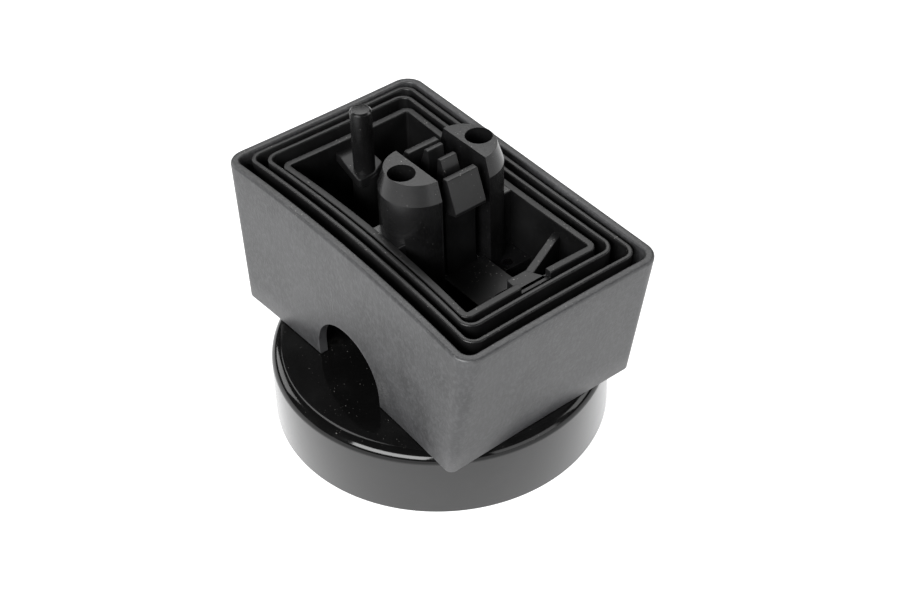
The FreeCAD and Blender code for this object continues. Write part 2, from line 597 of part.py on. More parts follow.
def make_carrier():
    """Inner tray: a rimmed wall, a floor, the notch's sill, a brace and the pin's post and shelf."""
    outer = carrier_solid(0.0, DECK_Z, HOUSING_TOP_Z)
    room = carrier_solid(CARRIER_T, FLOOR_TOP, HOUSING_TOP_Z + 1)
    body = outer.cut(room).cut(above_rim(CARRIER_DROP))
    body = body.cut(box(0, CARRIER_RIGHT * 2, NOTCH_Y0, NOTCH_Y1, SILL_Z, TOP))
    within = carrier_solid(CARRIER_T / 2, DECK_Z, HOUSING_TOP_Z)
    end = CARRIER_RIGHT - CARRIER_T / 2
    sill = prism([(end, NOTCH_Y0), (end, NOTCH_Y1), (end - SILL_REACH, NOTCH_Y1 - 2.6),
                  (end - SILL_REACH, NOTCH_Y0 + 0.4)], FLOOR_TOP - 0.5, SILL_Z)
    brace = prism(brace_outline(), FLOOR_TOP - 0.5, BRACE_Z)
    shelf_low = PIN_SHELF_Z - PIN_SHELF_T
    shelf = prism([(-CARRIER_LEFT, PIN_Y - 1.4), (PIN_X + 3.4, PIN_Y - 4.1), (PIN_X + 3.0, PIN_Y + 1.0),
                   (PIN_X + 0.4, PIN_Y + 5.2), (-CARRIER_LEFT, PIN_Y + 6.4)], shelf_low, PIN_SHELF_Z)
    post = cylinder(PIN_POST_R, FLOOR_TOP - 0.5, PIN_SHELF_Z - 0.8, PIN_X, PIN_Y)
    spots = corner_screw_spots()
    posts = [cylinder(CARRIER_POST_R, FLOOR_TOP - 0.5, FLOOR_TOP + CARRIER_POST_H, x, y) for x, y in spots]
    body = fuse_all([body] + [piece.common(within) for piece in [sill, brace, shelf, post] + posts])
    tools = [cylinder(PIN_SPIGOT_R, PIN_SHELF_Z - PIN_SOCKET, PIN_SHELF_Z + 1, PIN_X, PIN_Y),
             cylinder(PIVOT_HEAD_R + SEAT_GAP, DECK_Z - 1, FLOOR_TOP + 0.5)]
    for y in (-TOWER_FLAT - BORE_OFFSET, TOWER_FLAT + BORE_OFFSET):
        tools.append(hexagon(NUT_AF + 2 * SEAT_GAP, FLOOR_TOP, FLOOR_TOP + NUT_T + SEAT_GAP, TOWER_X, y))
    for x, y in carrier_screw_spots():
        top = FLOOR_TOP + 0.5 if (x, y) not in spots else DECK_Z + SCREW_BITE + SEAT_GAP
        tools.append(cylinder(SCREW_R + THREAD_GAP, DECK_Z - 1, top, x, y))
    return cut_all(body, tools)


def make_carrier_screws():
    """Screws driven up through the deck into the carrier, the latch block and the tower feet."""
    return Part.makeCompound([make_screw(x, y, DECK_LOW, DECK_Z + SCREW_BITE)
                              for x, y in carrier_screw_spots()])


def make_guide_pin():
    """Round locating pin with a spigot pressed into its post."""
    pin = cylinder(PIN_R, PIN_SHELF_Z, PIN_TOP, PIN_X, PIN_Y)
    pin = pin.makeChamfer(PIN_CHAMFER, [e for e in pin.Edges if abs(e.BoundBox.ZMin - PIN_TOP) < 1e-6])
    return fuse_all([pin, cylinder(PIN_SPIGOT_R, PIN_SHELF_Z - PIN_SOCKET, PIN_SHELF_Z + 0.5, PIN_X, PIN_Y)])


# ---- Towers --------------------------------------------------------------------------------

def make_tower(side):
    """D-shaped screw tower with a chamfered cap; side is -1 for the front one and 1 for the rear."""
    flat = side * TOWER_FLAT
    cap_low = TOWER_TOP - TOWER_CAP_H
    core = fuse_all([cylinder(TOWER_R, FLOOR_TOP, cap_low, TOWER_X, flat),
                     Part.makeCone(TOWER_R, TOWER_R - TOWER_CAP_IN, TOWER_CAP_H, V(TOWER_X, flat, cap_low))])
    far = 3 * TOWER_R
    keep = box(TOWER_X - far, TOWER_X + far, min(flat, side * far), max(flat, side * far), DECK_Z, TOP)
    core = core.common(keep)
    wall_y = side * (CARRIER_HALF_W + 1)
    room = carrier_solid(CARRIER_T + SEAT_GAP, FLOOR_TOP, TOP)
    core = core.common(room)
    web = box(TOWER_X - WEB_HALF_W, TOWER_X + WEB_HALF_W, min(flat + side * 3, wall_y),
              max(flat + side * 3, wall_y), FLOOR_TOP, HOUSING_TOP_Z - 0.5)
    foot = box(TOWER_X - TOWER_FOOT_REACH, TOWER_X + TOWER_FOOT_REACH, min(flat, wall_y), max(flat, wall_y),
               FLOOR_TOP, FLOOR_TOP + TOWER_FOOT_H)
    toe_y = side * TOWER_TOE_Y
    toe = box(TOWER_X - TOWER_TOE_REACH, TOWER_X + TOWER_TOE_REACH, min(toe_y, side * far / 2),
              max(toe_y, side * far / 2), FLOOR_TOP, FLOOR_TOP + NUT_T + 1.2)
    web = web.common(room).cut(above_rim(CARRIER_DROP + 0.1))
    body = fuse_all([core, web, foot.common(room), toe])
    bore_y = side * (TOWER_FLAT + BORE_OFFSET)
    tools = [cylinder(BORE_R, FLOOR_TOP - 1, TOP, TOWER_X, bore_y),
             hexagon(NUT_AF + 2 * THREAD_GAP, FLOOR_TOP - 1, FLOOR_TOP + NUT_T + SEAT_GAP, TOWER_X, bore_y)]
    for reach in (-TOWER_SCREW_REACH, TOWER_SCREW_REACH):
        y = side * (TOWER_FLAT + TOWER_SCREW_OFFSET)
        tools.append(cylinder(SCREW_R + THREAD_GAP, FLOOR_TOP - 1, DECK_Z + SCREW_BITE + SEAT_GAP,
                              TOWER_X + reach, y))
    return cut_all(body, tools)


def make_tower_nut(side):
    """Captive M6 nut under a tower."""
    y = side * (TOWER_FLAT + BORE_OFFSET)
    return make_nut(NUT_AF, NUT_T, TOWER_SCREW_R, FLOOR_TOP + NUT_T, TOWER_X, y)


# ---- Latches and tabs ----------------------------------------------------------------------

def mirrored(shape, side):
    """The shape as drawn on the +X side, or turned to the -X side of the towers' centre."""
    if side > 0:
        return shape
    turned = shape.copy()
    turned.rotate(V(TOWER_X, 0, 0), V(0, 0, 1), 180)
    return turned


def latch_root(radius, half, side):
    """Barrel of a latch root, or its socket."""
    x = TOWER_X + LATCH_BACK + LATCH_STEM_T / 2
    barrel = Part.makeCylinder(radius, 2 * half, V(x, -half, LATCH_ROOT_Z), V(0, 1, 0))
    return mirrored(barrel, side)


def make_latch(side):
    """Snap latch with a sloping nose and a barrel root."""
    back, face = TOWER_X + LATCH_BACK, TOWER_X + LATCH_BACK + LATCH_STEM_T
    nose = TOWER_X + LATCH_NOSE
    profile = [(back, LATCH_ROOT_Z), (face, LATCH_ROOT_Z), (face, LATCH_NOSE_Z - 1.2), (nose, LATCH_NOSE_Z),
               (nose, LATCH_NOSE_Z + LATCH_NOSE_LIP), (TOWER_X + LATCH_TOP_BACK + LATCH_TOP_T, LATCH_TOP_Z),
               (TOWER_X + LATCH_TOP_BACK, LATCH_TOP_Z), (back, LATCH_NOSE_Z)]
    arm = mirrored(side_prism(profile, -LATCH_HALF_W, LATCH_HALF_W), side)
    return fuse_all([arm, latch_root(LATCH_ROOT_R, LATCH_HALF_W, side)])


def make_tab(side):
    """Narrow stop tab behind a latch."""
    back, face = TOWER_X + TAB_BACK, TOWER_X + TAB_BACK + TAB_STEM_T
    nose = TOWER_X + TAB_NOSE
    low = LATCH_BLOCK_Z - TAB_ROOT
    profile = [(back, low), (face, low), (face, TAB_NOSE_Z - 1.0), (nose, TAB_NOSE_Z),
               (nose, TAB_NOSE_Z + TAB_NOSE_LIP), (face, TAB_TOP_Z), (face - TAB_TOP_T, TAB_TOP_Z),
               (back, TAB_NOSE_Z)]
    return mirrored(side_prism(profile, -TAB_HALF_W, TAB_HALF_W), side)


def make_latch_block():
    """Raised block between the towers that holds the latches and the tabs."""
    left, right = TOWER_X - LATCH_BLOCK_LEFT, TOWER_X + LATCH_BLOCK_RIGHT
    wide = TOWER_X + LATCH_BLOCK_WIDE_X
    body = fuse_all([box(left, right, -LATCH_BLOCK_WAIST, LATCH_BLOCK_WAIST, FLOOR_TOP, LATCH_BLOCK_Z),
                     box(wide, right, LATCH_BLOCK_LOW_Y, LATCH_BLOCK_HIGH_Y, FLOOR_TOP, LATCH_BLOCK_Z),
                     box(right - 1, right + LATCH_TONGUE, LATCH_BLOCK_LOW_Y, LATCH_TONGUE_Y1, FLOOR_TOP,
                         LATCH_BLOCK_Z)])
    tools = []
    for side in (-1, 1):
        tools.append(latch_root(LATCH_ROOT_R + RUNNING_FIT, LATCH_HALF_W + SEAT_GAP, side))
        back, face = TOWER_X + LATCH_BACK - LATCH_SLOT_BACK, TOWER_X + LATCH_BACK + LATCH_STEM_T
        half = LATCH_HALF_W + SEAT_GAP
        slot = box(back, face + LATCH_SLOT_FACE, -half, half, LATCH_ROOT_Z, TOP)
        tools.append(mirrored(slot, side))
        socket = box(TOWER_X + TAB_BACK, TOWER_X + TAB_BACK + TAB_STEM_T, -TAB_HALF_W, TAB_HALF_W,
                     LATCH_BLOCK_Z - TAB_ROOT, TOP)
        tools.append(mirrored(socket, side))
    for x, y in carrier_screw_spots():
        tools.append(cylinder(SCREW_R + THREAD_GAP, FLOOR_TOP - 1, DECK_Z + SCREW_BITE + SEAT_GAP, x, y))
    return cut_all(body, tools)


def main():
    """Writes every sub-part."""
    os.makedirs("parts", exist_ok=True)
    nodes = {
        "base_cover": make_base_cover(),
        "base_plate": make_base_plate(),
        "base_screws": make_base_screws(),
        "foot_ring": make_foot_ring(),
        "ballast_ring": make_ballast_ring(),
        "pivot_bush": make_pivot_bush(),
        "thrust_washer": make_thrust_washer(),
        "pivot_bolt": make_pivot_bolt(),
        "head_washer": make_head_washer(),
        "cup_spring": make_cup_spring(),
        "low_washer": make_low_washer(),
        "lock_nut": make_nut(PIVOT_NUT_AF, PIVOT_NUT_T, PIVOT_R, LOCK_NUT_TOP, 0.0, 0.0, LOCK_COLLAR),
        "housing": make_housing(),
        "outer_skirt": make_outer_skirt(),
        "inner_skirt": make_inner_skirt(),
        "carrier": make_carrier(),
        "carrier_screws": make_carrier_screws(),
        "guide_pin": make_guide_pin(),
        "front_tower": make_tower(-1),
        "rear_tower": make_tower(1),
        "front_tower_nut": make_tower_nut(-1),
        "rear_tower_nut": make_tower_nut(1),
        "latch_block": make_latch_block(),
        "front_latch": make_latch(1),
        "rear_latch": make_latch(-1),
        "front_tab": make_tab(1),
        "rear_tab": make_tab(-1),
    }
    for name, shape in nodes.items():
        print(name, "valid", shape.isValid(), "solids", len(shape.Solids), "volume", round(shape.Volume, 1))
        shape.exportStep("parts/" + name + ".step")


main()
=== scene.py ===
"""Swivel mounting block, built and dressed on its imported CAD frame.

A tapered black housing with nested lift-up skirts turns on a gloss black round base. Two screw
towers, two snap latches, their stop tabs and a locating pin stand inside the carrier. Sizes are
in millimetres in the classes below and are turned into metres when a mesh is made.
"""

import logging
import math
from dataclasses import astuple, dataclass, field
from enum import Enum
from typing import Optional, Sequence, Union

import bmesh
import bpy
from mathutils import Matrix, Vector


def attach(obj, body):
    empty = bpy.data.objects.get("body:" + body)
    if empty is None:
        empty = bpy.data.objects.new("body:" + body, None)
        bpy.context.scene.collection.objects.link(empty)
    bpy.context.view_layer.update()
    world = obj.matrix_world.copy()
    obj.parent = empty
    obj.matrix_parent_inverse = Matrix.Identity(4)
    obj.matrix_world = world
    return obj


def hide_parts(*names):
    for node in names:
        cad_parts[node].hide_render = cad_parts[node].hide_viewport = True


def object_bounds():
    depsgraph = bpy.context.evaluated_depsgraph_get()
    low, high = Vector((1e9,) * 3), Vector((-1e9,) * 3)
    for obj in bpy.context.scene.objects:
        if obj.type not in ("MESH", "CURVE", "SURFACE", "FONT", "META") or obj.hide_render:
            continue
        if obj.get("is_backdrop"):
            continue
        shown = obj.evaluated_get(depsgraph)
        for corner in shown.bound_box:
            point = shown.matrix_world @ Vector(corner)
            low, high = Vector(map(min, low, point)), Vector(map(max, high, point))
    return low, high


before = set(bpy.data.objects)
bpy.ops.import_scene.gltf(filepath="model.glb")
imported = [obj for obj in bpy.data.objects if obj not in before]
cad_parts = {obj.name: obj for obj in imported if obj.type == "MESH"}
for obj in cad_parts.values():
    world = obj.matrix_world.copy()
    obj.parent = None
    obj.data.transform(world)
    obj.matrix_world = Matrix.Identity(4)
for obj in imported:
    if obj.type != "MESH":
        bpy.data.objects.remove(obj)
CAD_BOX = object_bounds()
LOG = logging.getLogger("mounting_block")
MM = 0.001
WELD = 1e-7  # metres; corners closer than this become one
EDGE_POINTINESS = (0.505, 0.56)  # pointiness where the edge mask starts and where it is full; on moulded plastic it lightens edges, partly as wear and partly as a painted highlight
SPECK_RISE = 0.04  # how much the noise rises from a speck's rim to its middle
FULL_PATCH = 0.6  # noise level at which a patch of specks is full

Point2 = tuple[float, float]
Point3 = tuple[float, float, float]
Number = Union[int, float]


class Body(Enum):
    """The rigid bodies that a piece can ride on."""

    BASE = "base"
    BLOCK = "block"
    OUTER_SKIRT = "outer_skirt"
    INNER_SKIRT = "inner_skirt"
    FRONT_LATCH = "front_latch"
    REAR_LATCH = "rear_latch"


class Slot(Enum):
    """The material slots that the record names."""

    HOUSING = "housing_plastic"
    BASE = "base_gloss"
    SKIRT = "skirt_plastic"
    CARRIER = "carrier_plastic"
    TOWER = "tower_plastic"
    LATCH = "latch_plastic"
    FOOT = "foot_rubber"
    STEEL = "zinc_steel"
    IRON = "ballast_iron"
    BEARING = "bearing_plastic"


class Side(Enum):
    """Which of a pair a piece is; the value is the sign that places it."""

    FRONT = -1
    REAR = 1


def place(name: str, data: bpy.types.ID) -> bpy.types.Object:
    """Adds an object to the scene.

    Args:
        name: name of the object.
        data: its mesh, light or camera.

    Returns:
        The object.
    """
    thing = bpy.data.objects.new(name, data)
    bpy.context.scene.collection.objects.link(thing)
    return thing


def scaled(shade: Point3, factor: float, lift: float = 0.0) -> Point3:
    """A lighter or darker version of a shade."""
    return tuple(level * factor + lift for level in shade)


# ---- Shader maths ----


class Value:
    """A shader socket that carries numbers and can be used in Python expressions."""

    def __init__(self, maker: "MaterialMaker", socket: bpy.types.NodeSocket) -> None:
        """Wraps a socket of the maker's tree."""
        self.maker = maker
        self.socket = socket

    def __add__(self, other: "Operand") -> "Value":
        """Sum of two values."""
        return self.maker.maths("ADD", self, other)

    def __radd__(self, other: Number) -> "Value":
        """Sum with a number on the left."""
        return self.maker.maths("ADD", other, self)

    def __sub__(self, other: "Operand") -> "Value":
        """Difference of two values."""
        return self.maker.maths("SUBTRACT", self, other)

    def __rsub__(self, other: Number) -> "Value":
        """A number less this value."""
        return self.maker.maths("SUBTRACT", other, self)

    def __mul__(self, other: "Operand") -> "Value":
        """Product of two values."""
        return self.maker.maths("MULTIPLY", self, other)

    def __rmul__(self, other: Number) -> "Value":
        """Product with a number on the left."""
        return self.maker.maths("MULTIPLY", other, self)

    def __truediv__(self, other: "Operand") -> "Value":
        """Quotient of two values."""
        return self.maker.maths("DIVIDE", self, other)

    def __rtruediv__(self, other: Number) -> "Value":
        """A number divided by this value."""
        return self.maker.maths("DIVIDE", other, self)

    def __pow__(self, other: "Operand") -> "Value":
        """Power of a value."""
        return self.maker.maths("POWER", self, other)

    def __abs__(self) -> "Value":
        """Size of the value without its sign."""
        return self.maker.maths("ABSOLUTE", self)

    def clamped(self) -> "Value":
        """The value held between 0 and 1."""
        return self.maker.maths("ADD", self, 0.0, use_clamp=True)

    def fade(self, start: float, end: float) -> "Value":
        """A smooth rise from 0 to 1 as the value goes from start to end.

        Args:
            start: value at which the result is 0.
            end: value at which the result is 1; it may be below start.

        Returns:
            The smooth step.
        """
        step = ((self - start) / (end - start)).clamped()
        return step * step * (3.0 - 2.0 * step)


Operand = Union[Value, Number]


class MaterialMaker:
    """Builds one procedural material around a Principled shader."""

    def __init__(self, name: str) -> None:
        """Starts an empty material with a shader and an output.

        Args:
            name: name of the material.
        """
        self.material = bpy.data.materials.new(name)
        self.material.use_nodes = True
        self.tree = self.material.node_tree
        self.tree.nodes.clear()
        self.output = self.tree.nodes.new("ShaderNodeOutputMaterial")
        self.shader = self.tree.nodes.new("ShaderNodeBsdfPrincipled")
        self.tree.links.new(self.shader.outputs[0], self.output.inputs["Surface"])

    def feed(self, socket: bpy.types.NodeSocket, value: object) -> None:
        """Links a value to a socket, or sets the socket's own constant.

        Args:
            socket: the input to feed.
            value: a value, another socket or a constant.
        """
        if isinstance(value, Value):
            self.tree.links.new(value.socket, socket)
        elif isinstance(value, bpy.types.NodeSocket):
            self.tree.links.new(value, socket)
        else:
            socket.default_value = value

    def node(
        self,
        kind: str,
        settings: Optional[dict[str, object]] = None,
        sockets: Optional[dict[Union[str, int], object]] = None,
    ) -> bpy.types.Node:
        """Adds one node.

        Args:
            kind: the node's type.
            settings: the node's own options, which are set first.
            sockets: values or links for the node's inputs.

        Returns:
            The node.
        """
        made = self.tree.nodes.new(kind)
        for key, setting in (settings or {}).items():
            setattr(made, key, setting)
        for key, value in (sockets or {}).items():
            self.feed(made.inputs[key], value)
        return made

    def maths(self, operation: str, *values: Operand, use_clamp: bool = False) -> Value:
        """Adds a Math node.

        Args:
            operation: the Math node's operation.
            values: its inputs in order.
            use_clamp: whether the result is held between 0 and 1.

        Returns:
            The result.
        """
        settings = {"operation": operation, "use_clamp": use_clamp}
        made = self.node("ShaderNodeMath", settings, dict(enumerate(values)))
        return Value(self, made.outputs[0])

    def coordinates(self) -> bpy.types.NodeSocket:
        """The object's own coordinates, in metres."""
        return self.node("ShaderNodeTexCoord").outputs["Object"]

    def axes(self) -> tuple[Value, Value, Value]:
        """The object's own coordinates as three values, in millimetres.

        Returns:
            X, Y and Z.
        """
        split = self.node("ShaderNodeSeparateXYZ", sockets={0: self.coordinates()})
        x, y, z = (Value(self, socket) / MM for socket in split.outputs)
        return x, y, z

    def noise(self, size: float, detail: float = 2.0, stretch: Point3 = (1.0, 1.0, 1.0)) -> Value:
        """Cloudy noise from 0 to 1.

        Args:
            size: size of a patch, in millimetres.
            detail: how many finer layers it has.
            stretch: how much denser it is along each axis.

        Returns:
            The noise.
        """
        stretched = self.node(
            "ShaderNodeVectorMath", {"operation": "MULTIPLY"}, {0: self.coordinates(), 1: stretch}
        )
        scale = 1.0 / (size * MM)
        sockets = {"Vector": stretched.outputs[0], "Scale": scale, "Detail": detail}
        return Value(self, self.node("ShaderNodeTexNoise", sockets=sockets).outputs["Fac"])

    def facing_up(self) -> Value:
        """How far a surface faces up.

        Returns:
            1 on surfaces that face straight up, 0 on walls.
        """
        normal = self.node("ShaderNodeNewGeometry").outputs["Normal"]
        split = self.node("ShaderNodeSeparateXYZ", sockets={0: normal})
        return Value(self, split.outputs["Z"]).clamped()

    def edges(self) -> Value:
        """1 on outer edges, 0 on flat faces and in corners."""
        point = Value(self, self.node("ShaderNodeNewGeometry").outputs["Pointiness"])
        return point.fade(*EDGE_POINTINESS)

    def specks(self, size: float, patch: float, level: float, gather: float) -> Value:
        """Small specks of dust that gather in patches.

        Args:
            size: size of a speck, in millimetres.
            patch: size of a patch, in millimetres.
            level: noise level at which a speck starts.
            gather: noise level at which a patch starts.

        Returns:
            1 on specks, 0 between them.
        """
        dots = self.noise(size, 0.0).fade(level, level + SPECK_RISE)
        return dots * self.noise(patch, 2.0).fade(gather, FULL_PATCH)

    def mix(
        self, factor: Operand, low: Union[Point3, bpy.types.NodeSocket], high: Point3
    ) -> bpy.types.NodeSocket:
        """A mix of two colours.

        Args:
            factor: how much of the high colour there is.
            low: a colour, or the socket of one that is already mixed.
            high: the colour laid over it.

        Returns:
            The mixed colour.
        """
        under = (*low, 1.0) if isinstance(low, tuple) else low
        sockets = {0: factor, 6: under, 7: (*high, 1.0)}
        return self.node("ShaderNodeMix", {"data_type": "RGBA"}, sockets).outputs[2]

    def bump(self, height: Value, depth: float, strength: float = 1.0) -> bpy.types.NodeSocket:
        """A bumpy normal; depth is in millimetres."""
        sockets = {"Height": height, "Distance": depth * MM, "Strength": strength}
        return self.node("ShaderNodeBump", sockets=sockets).outputs[0]

    def finish(self, **sockets: object) -> bpy.types.Material:
        """Feeds the shader's sockets.

        Args:
            sockets: value or link of each socket, named with _ for a space.

        Returns:
            The material.
        """
        for key, value in sockets.items():
            self.feed(self.shader.inputs[key.replace("_", " ")], value)
        return self.material


# ---- Finishes ----


@dataclass(frozen=True)
class Mark:
    """A soft-edged patch of wear on a surface, in the block's coordinates."""

    centre: Point3
    reach: Point3
    strength: float

    def mask(self, axes: tuple[Value, Value, Value]) -> Value:
        """How strong the mark is at a point.

        Args:
            axes: the point's coordinates.

        Returns:
            The strength at the patch's centre, falling to 0 at its reach along each axis.
        """
        level: Operand = self.strength
        for axis, middle, reach in zip(axes, self.centre, self.reach):
            level = level * abs(axis - middle).fade(reach, reach * 0.2)
        return level


@dataclass(frozen=True)
class MouldedPlastic:
    """Black moulded plastic with a fine sparked grain, edges lightened partly as wear and partly as
    a painted highlight, and a little dust.

    Grain, cloud, handling, fleck, speck and scrape are the sizes of its patches in millimetres.
    """

    name: str
    shade: Point3 = (0.020, 0.0202, 0.021)
    roughness: float = 0.46
    specular: float = 0.55
    grain: float = 0.16
    grain_depth: float = 0.05
    cloud: float = 14.0
    handling: float = 5.0
    fleck: float = 0.8
    speck: float = 0.42
    speck_patch: float = 6.0
    scrape: float = 0.5
    mottle: float = 0.15
    edge_wear_and_highlight: float = 2.6
    dust: float = 0.45
    wall_dust: float = 0.12
    dust_shade: Point3 = (0.42, 0.41, 0.39)
    marks: tuple[Mark, ...] = ()
    scrape_shade: Point3 = (0.085, 0.085, 0.084)
    scrape_cover: float = 0.6
    scrape_height: float = 0.8

    def scraped(
        self, maker: MaterialMaker, colour: bpy.types.NodeSocket
    ) -> tuple[bpy.types.NodeSocket, Operand]:
        """Lays the marks over a colour.

        Args:
            maker: the material's maker.
            colour: the colour under the marks.

        Returns:
            The colour with its marks, and how strong the marks are.
        """
        if not self.marks:
            return colour, 0.0
        axes = maker.axes()
        wear = sum(mark.mask(axes) for mark in self.marks)
        scrape = maker.noise(self.scrape, 3.0, (1.0, 1.0, 3.0)).fade(0.42, 0.6)
        cover = (wear * scrape).clamped() * self.scrape_cover
        return maker.mix(cover, colour, self.scrape_shade), wear

    def build(self) -> bpy.types.Material:
        """Makes the material.

        Returns:
            The material.
        """
        maker = MaterialMaker(self.name)
        cloud = maker.noise(self.cloud, 3.0)
        grain = maker.noise(self.grain, 2.0)
        handling = maker.noise(self.handling, 4.0)
        darker, lighter = scaled(self.shade, 0.8), scaled(self.shade, 1.35, 0.002)
        colour = maker.mix(cloud.fade(0.3, 0.7), darker, lighter)
        fleck = maker.noise(self.fleck, 3.0, (1.0, 1.0, 0.6)).fade(0.42, 0.68)
        colour = maker.mix(fleck * self.mottle, colour, scaled(self.shade, 3.5))
        # painted highlight: edges are lightened partly as wear and partly to stand in for the
        # highlights that rims and edges catch
        edge = maker.edges() * (0.45 + 0.55 * handling.fade(0.4, 0.62))
        colour = maker.mix(edge, colour, scaled(self.shade, self.edge_wear_and_highlight))
        upward = self.wall_dust + (1.0 - self.wall_dust) * maker.facing_up()
        speck = maker.specks(self.speck, self.speck_patch, 0.79, 0.42) * upward * self.dust
        colour = maker.mix(speck.clamped(), colour, self.dust_shade)
        colour, wear = self.scraped(maker, colour)
        rough = self.roughness + 0.16 * (cloud - 0.5) + 0.10 * (handling - 0.5) - 0.05 * edge
        return maker.finish(
            Base_Color=colour,
            Roughness=(rough + 0.15 * speck).clamped(),
            Specular_IOR_Level=self.specular,
            Normal=maker.bump(grain + wear * self.scrape_height, self.grain_depth),
        )


@dataclass(frozen=True)
class GlossPlastic:
    """Polished black plastic: near-mirror top, fine hairlines, faint smudges and dust.

    Smudge, hairline, peel and speck are the sizes of its patches in millimetres.
    """

    name: str
    shade: Point3 = (0.003, 0.003, 0.003)
    roughness: float = 0.09
    side_roughness: float = 0.30
    coat_share: float = 0.8
    specular: float = 0.27
    dust: float = 0.3
    dust_shade: Point3 = (0.35, 0.34, 0.32)
    smudge: float = 9.0
    hairline: float = 0.7
    peel: float = 1.6
    peel_depth: float = 0.004
    speck: float = 0.38
    speck_patch: float = 5.0

    def build(self) -> bpy.types.Material:
        """Makes the material.

        Returns:
            The material.
        """
        maker = MaterialMaker(self.name)
        smudge = maker.noise(self.smudge, 4.0).fade(0.45, 0.75)
        hairline = maker.noise(self.hairline, 2.0, (1.0, 7.0, 1.0)).fade(0.60, 0.78)
        up = maker.facing_up().fade(0.02, 0.25)
        orange_peel = maker.noise(self.peel, 1.0)
        colour = maker.mix(smudge, self.shade, scaled(self.shade, 1.5, 0.001))
        dots = maker.specks(self.speck, self.speck_patch, 0.80, 0.45)
        speck = (dots * up).clamped() * self.dust
        base = self.side_roughness + (self.roughness - self.side_roughness) * up
        rough = base + 0.05 * smudge + 0.03 * hairline + 0.2 * speck
        return maker.finish(
            Base_Color=maker.mix(speck, colour, self.dust_shade),
            Roughness=rough.clamped(),
            Specular_IOR_Level=self.specular,
            Coat_Weight=1.0 - up,
            Coat_Roughness=self.side_roughness * self.coat_share,
            Normal=maker.bump(orange_peel + 0.15 * hairline, self.peel_depth),
        )


@dataclass(frozen=True)
class PlatedSteel:
    """Zinc-plated steel with turning lines and dull patches."""

    name: str
    shade: Point3 = (0.56, 0.55, 0.52)
    dull: float = 0.72
    patch: float = 1.8
    line: float = 0.5
    line_depth: float = 0.01

    def build(self) -> bpy.types.Material:
        """Makes the material.

        Returns:
            The material.
        """
        maker = MaterialMaker(self.name)
        patch = maker.noise(self.patch, 4.0)
        lines = maker.noise(self.line, 2.0, (1.0, 1.0, 6.0))
        colour = maker.mix(patch.fade(0.35, 0.7), scaled(self.shade, self.dull), self.shade)
        rough = 0.30 + 0.18 * patch + 0.10 * (lines - 0.5) - 0.05 * maker.edges()
        return maker.finish(
            Base_Color=colour,
            Metallic=1.0,
            Roughness=rough.clamped(),
            Normal=maker.bump(lines, self.line_depth, 0.5),
        )


@dataclass(frozen=True)
class CastIron:
    """Dark cast iron with a sandy skin and rust in its hollows."""

    name: str
    shade: Point3 = (0.09, 0.09, 0.095)
    rust_shade: Point3 = (0.12, 0.055, 0.03)
    sand: float = 0.45
    sand_depth: float = 0.06
    rust: float = 6.0

    def build(self) -> bpy.types.Material:
        """Makes the material.

        Returns:
            The material.
        """
        maker = MaterialMaker(self.name)
        sand = maker.noise(self.sand, 3.0)
        rust = maker.noise(self.rust, 4.0).fade(0.55, 0.75)
        colour = maker.mix(rust * 0.6, self.shade, self.rust_shade)
        return maker.finish(
            Base_Color=colour,
            Metallic=0.75 - 0.6 * rust,
            Roughness=(0.55 + 0.25 * sand).clamped(),
            Normal=maker.bump(sand, self.sand_depth),
        )


@dataclass(frozen=True)
class MouldedRubber:
    """Dull black rubber with a powdery bloom."""

    name: str
    shade: Point3 = (0.018, 0.018, 0.018)
    bloom_shade: Point3 = (0.045, 0.044, 0.042)
    specular: float = 0.35
    bloom: float = 4.0
    grain: float = 0.25
    grain_depth: float = 0.02

    def build(self) -> bpy.types.Material:
        """Makes the material.

        Returns:
            The material.
        """
        maker = MaterialMaker(self.name)
        bloom = maker.noise(self.bloom, 5.0).fade(0.42, 0.75)
        grain = maker.noise(self.grain, 2.0)
        colour = maker.mix(bloom, self.shade, self.bloom_shade)
        return maker.finish(
            Base_Color=colour,
            Roughness=(0.72 + 0.15 * grain).clamped(),
            Specular_IOR_Level=self.specular,
            Normal=maker.bump(grain, self.grain_depth),
        )


@dataclass(frozen=True)
class BearingPlastic:
    """Pale slippery bearing plastic with faint grey rub rings."""

    name: str
    shade: Point3 = (0.66, 0.65, 0.60)
    rub_shade: Point3 = (0.34, 0.33, 0.31)
    rub: float = 2.5
    rings_per_mm: float = 9.0
    ring_depth: float = 0.004

    def build(self) -> bpy.types.Material:
        """Makes the material.

        Returns:
            The material.
        """
        maker = MaterialMaker(self.name)
        x, y, _ = maker.axes()
        radius = (x * x + y * y) ** 0.5
        rings = maker.maths("SINE", radius * self.rings_per_mm)
        rub = maker.noise(self.rub, 3.0).fade(0.4, 0.7)
        colour = maker.mix(rub * 0.7, self.shade, self.rub_shade)
        return maker.finish(
            Base_Color=colour,
            Roughness=(0.38 + 0.12 * rub).clamped(),
            Normal=maker.bump(rings, self.ring_depth),
        )


@dataclass(frozen=True)
class PaleFloor:
    """Plain white paper lit from below."""

    name: str = "white_floor"
    glow: float = 0.98
    roughness: float = 0.9
    specular: float = 0.2
    fibre: float = 1.2
    fibre_depth: float = 0.01
    cloud: float = 90.0
    shades: tuple[Point3, Point3] = ((0.36, 0.36, 0.365), (0.38, 0.38, 0.38))
    glow_shades: tuple[Point3, Point3] = ((0.97, 0.975, 0.98), (1.0, 1.0, 1.0))

    def build(self) -> bpy.types.Material:
        """Makes the material.

        Returns:
            The material.
        """
        maker = MaterialMaker(self.name)
        fibre = maker.noise(self.fibre, 3.0)
        cloud = maker.noise(self.cloud, 2.0)
        return maker.finish(
            Base_Color=maker.mix(cloud, *self.shades),
            Roughness=self.roughness,
            Specular_IOR_Level=self.specular,
            Emission_Color=maker.mix(cloud, *self.glow_shades),
            Emission_Strength=self.glow,
            Normal=maker.bump(fibre, self.fibre_depth),
        )


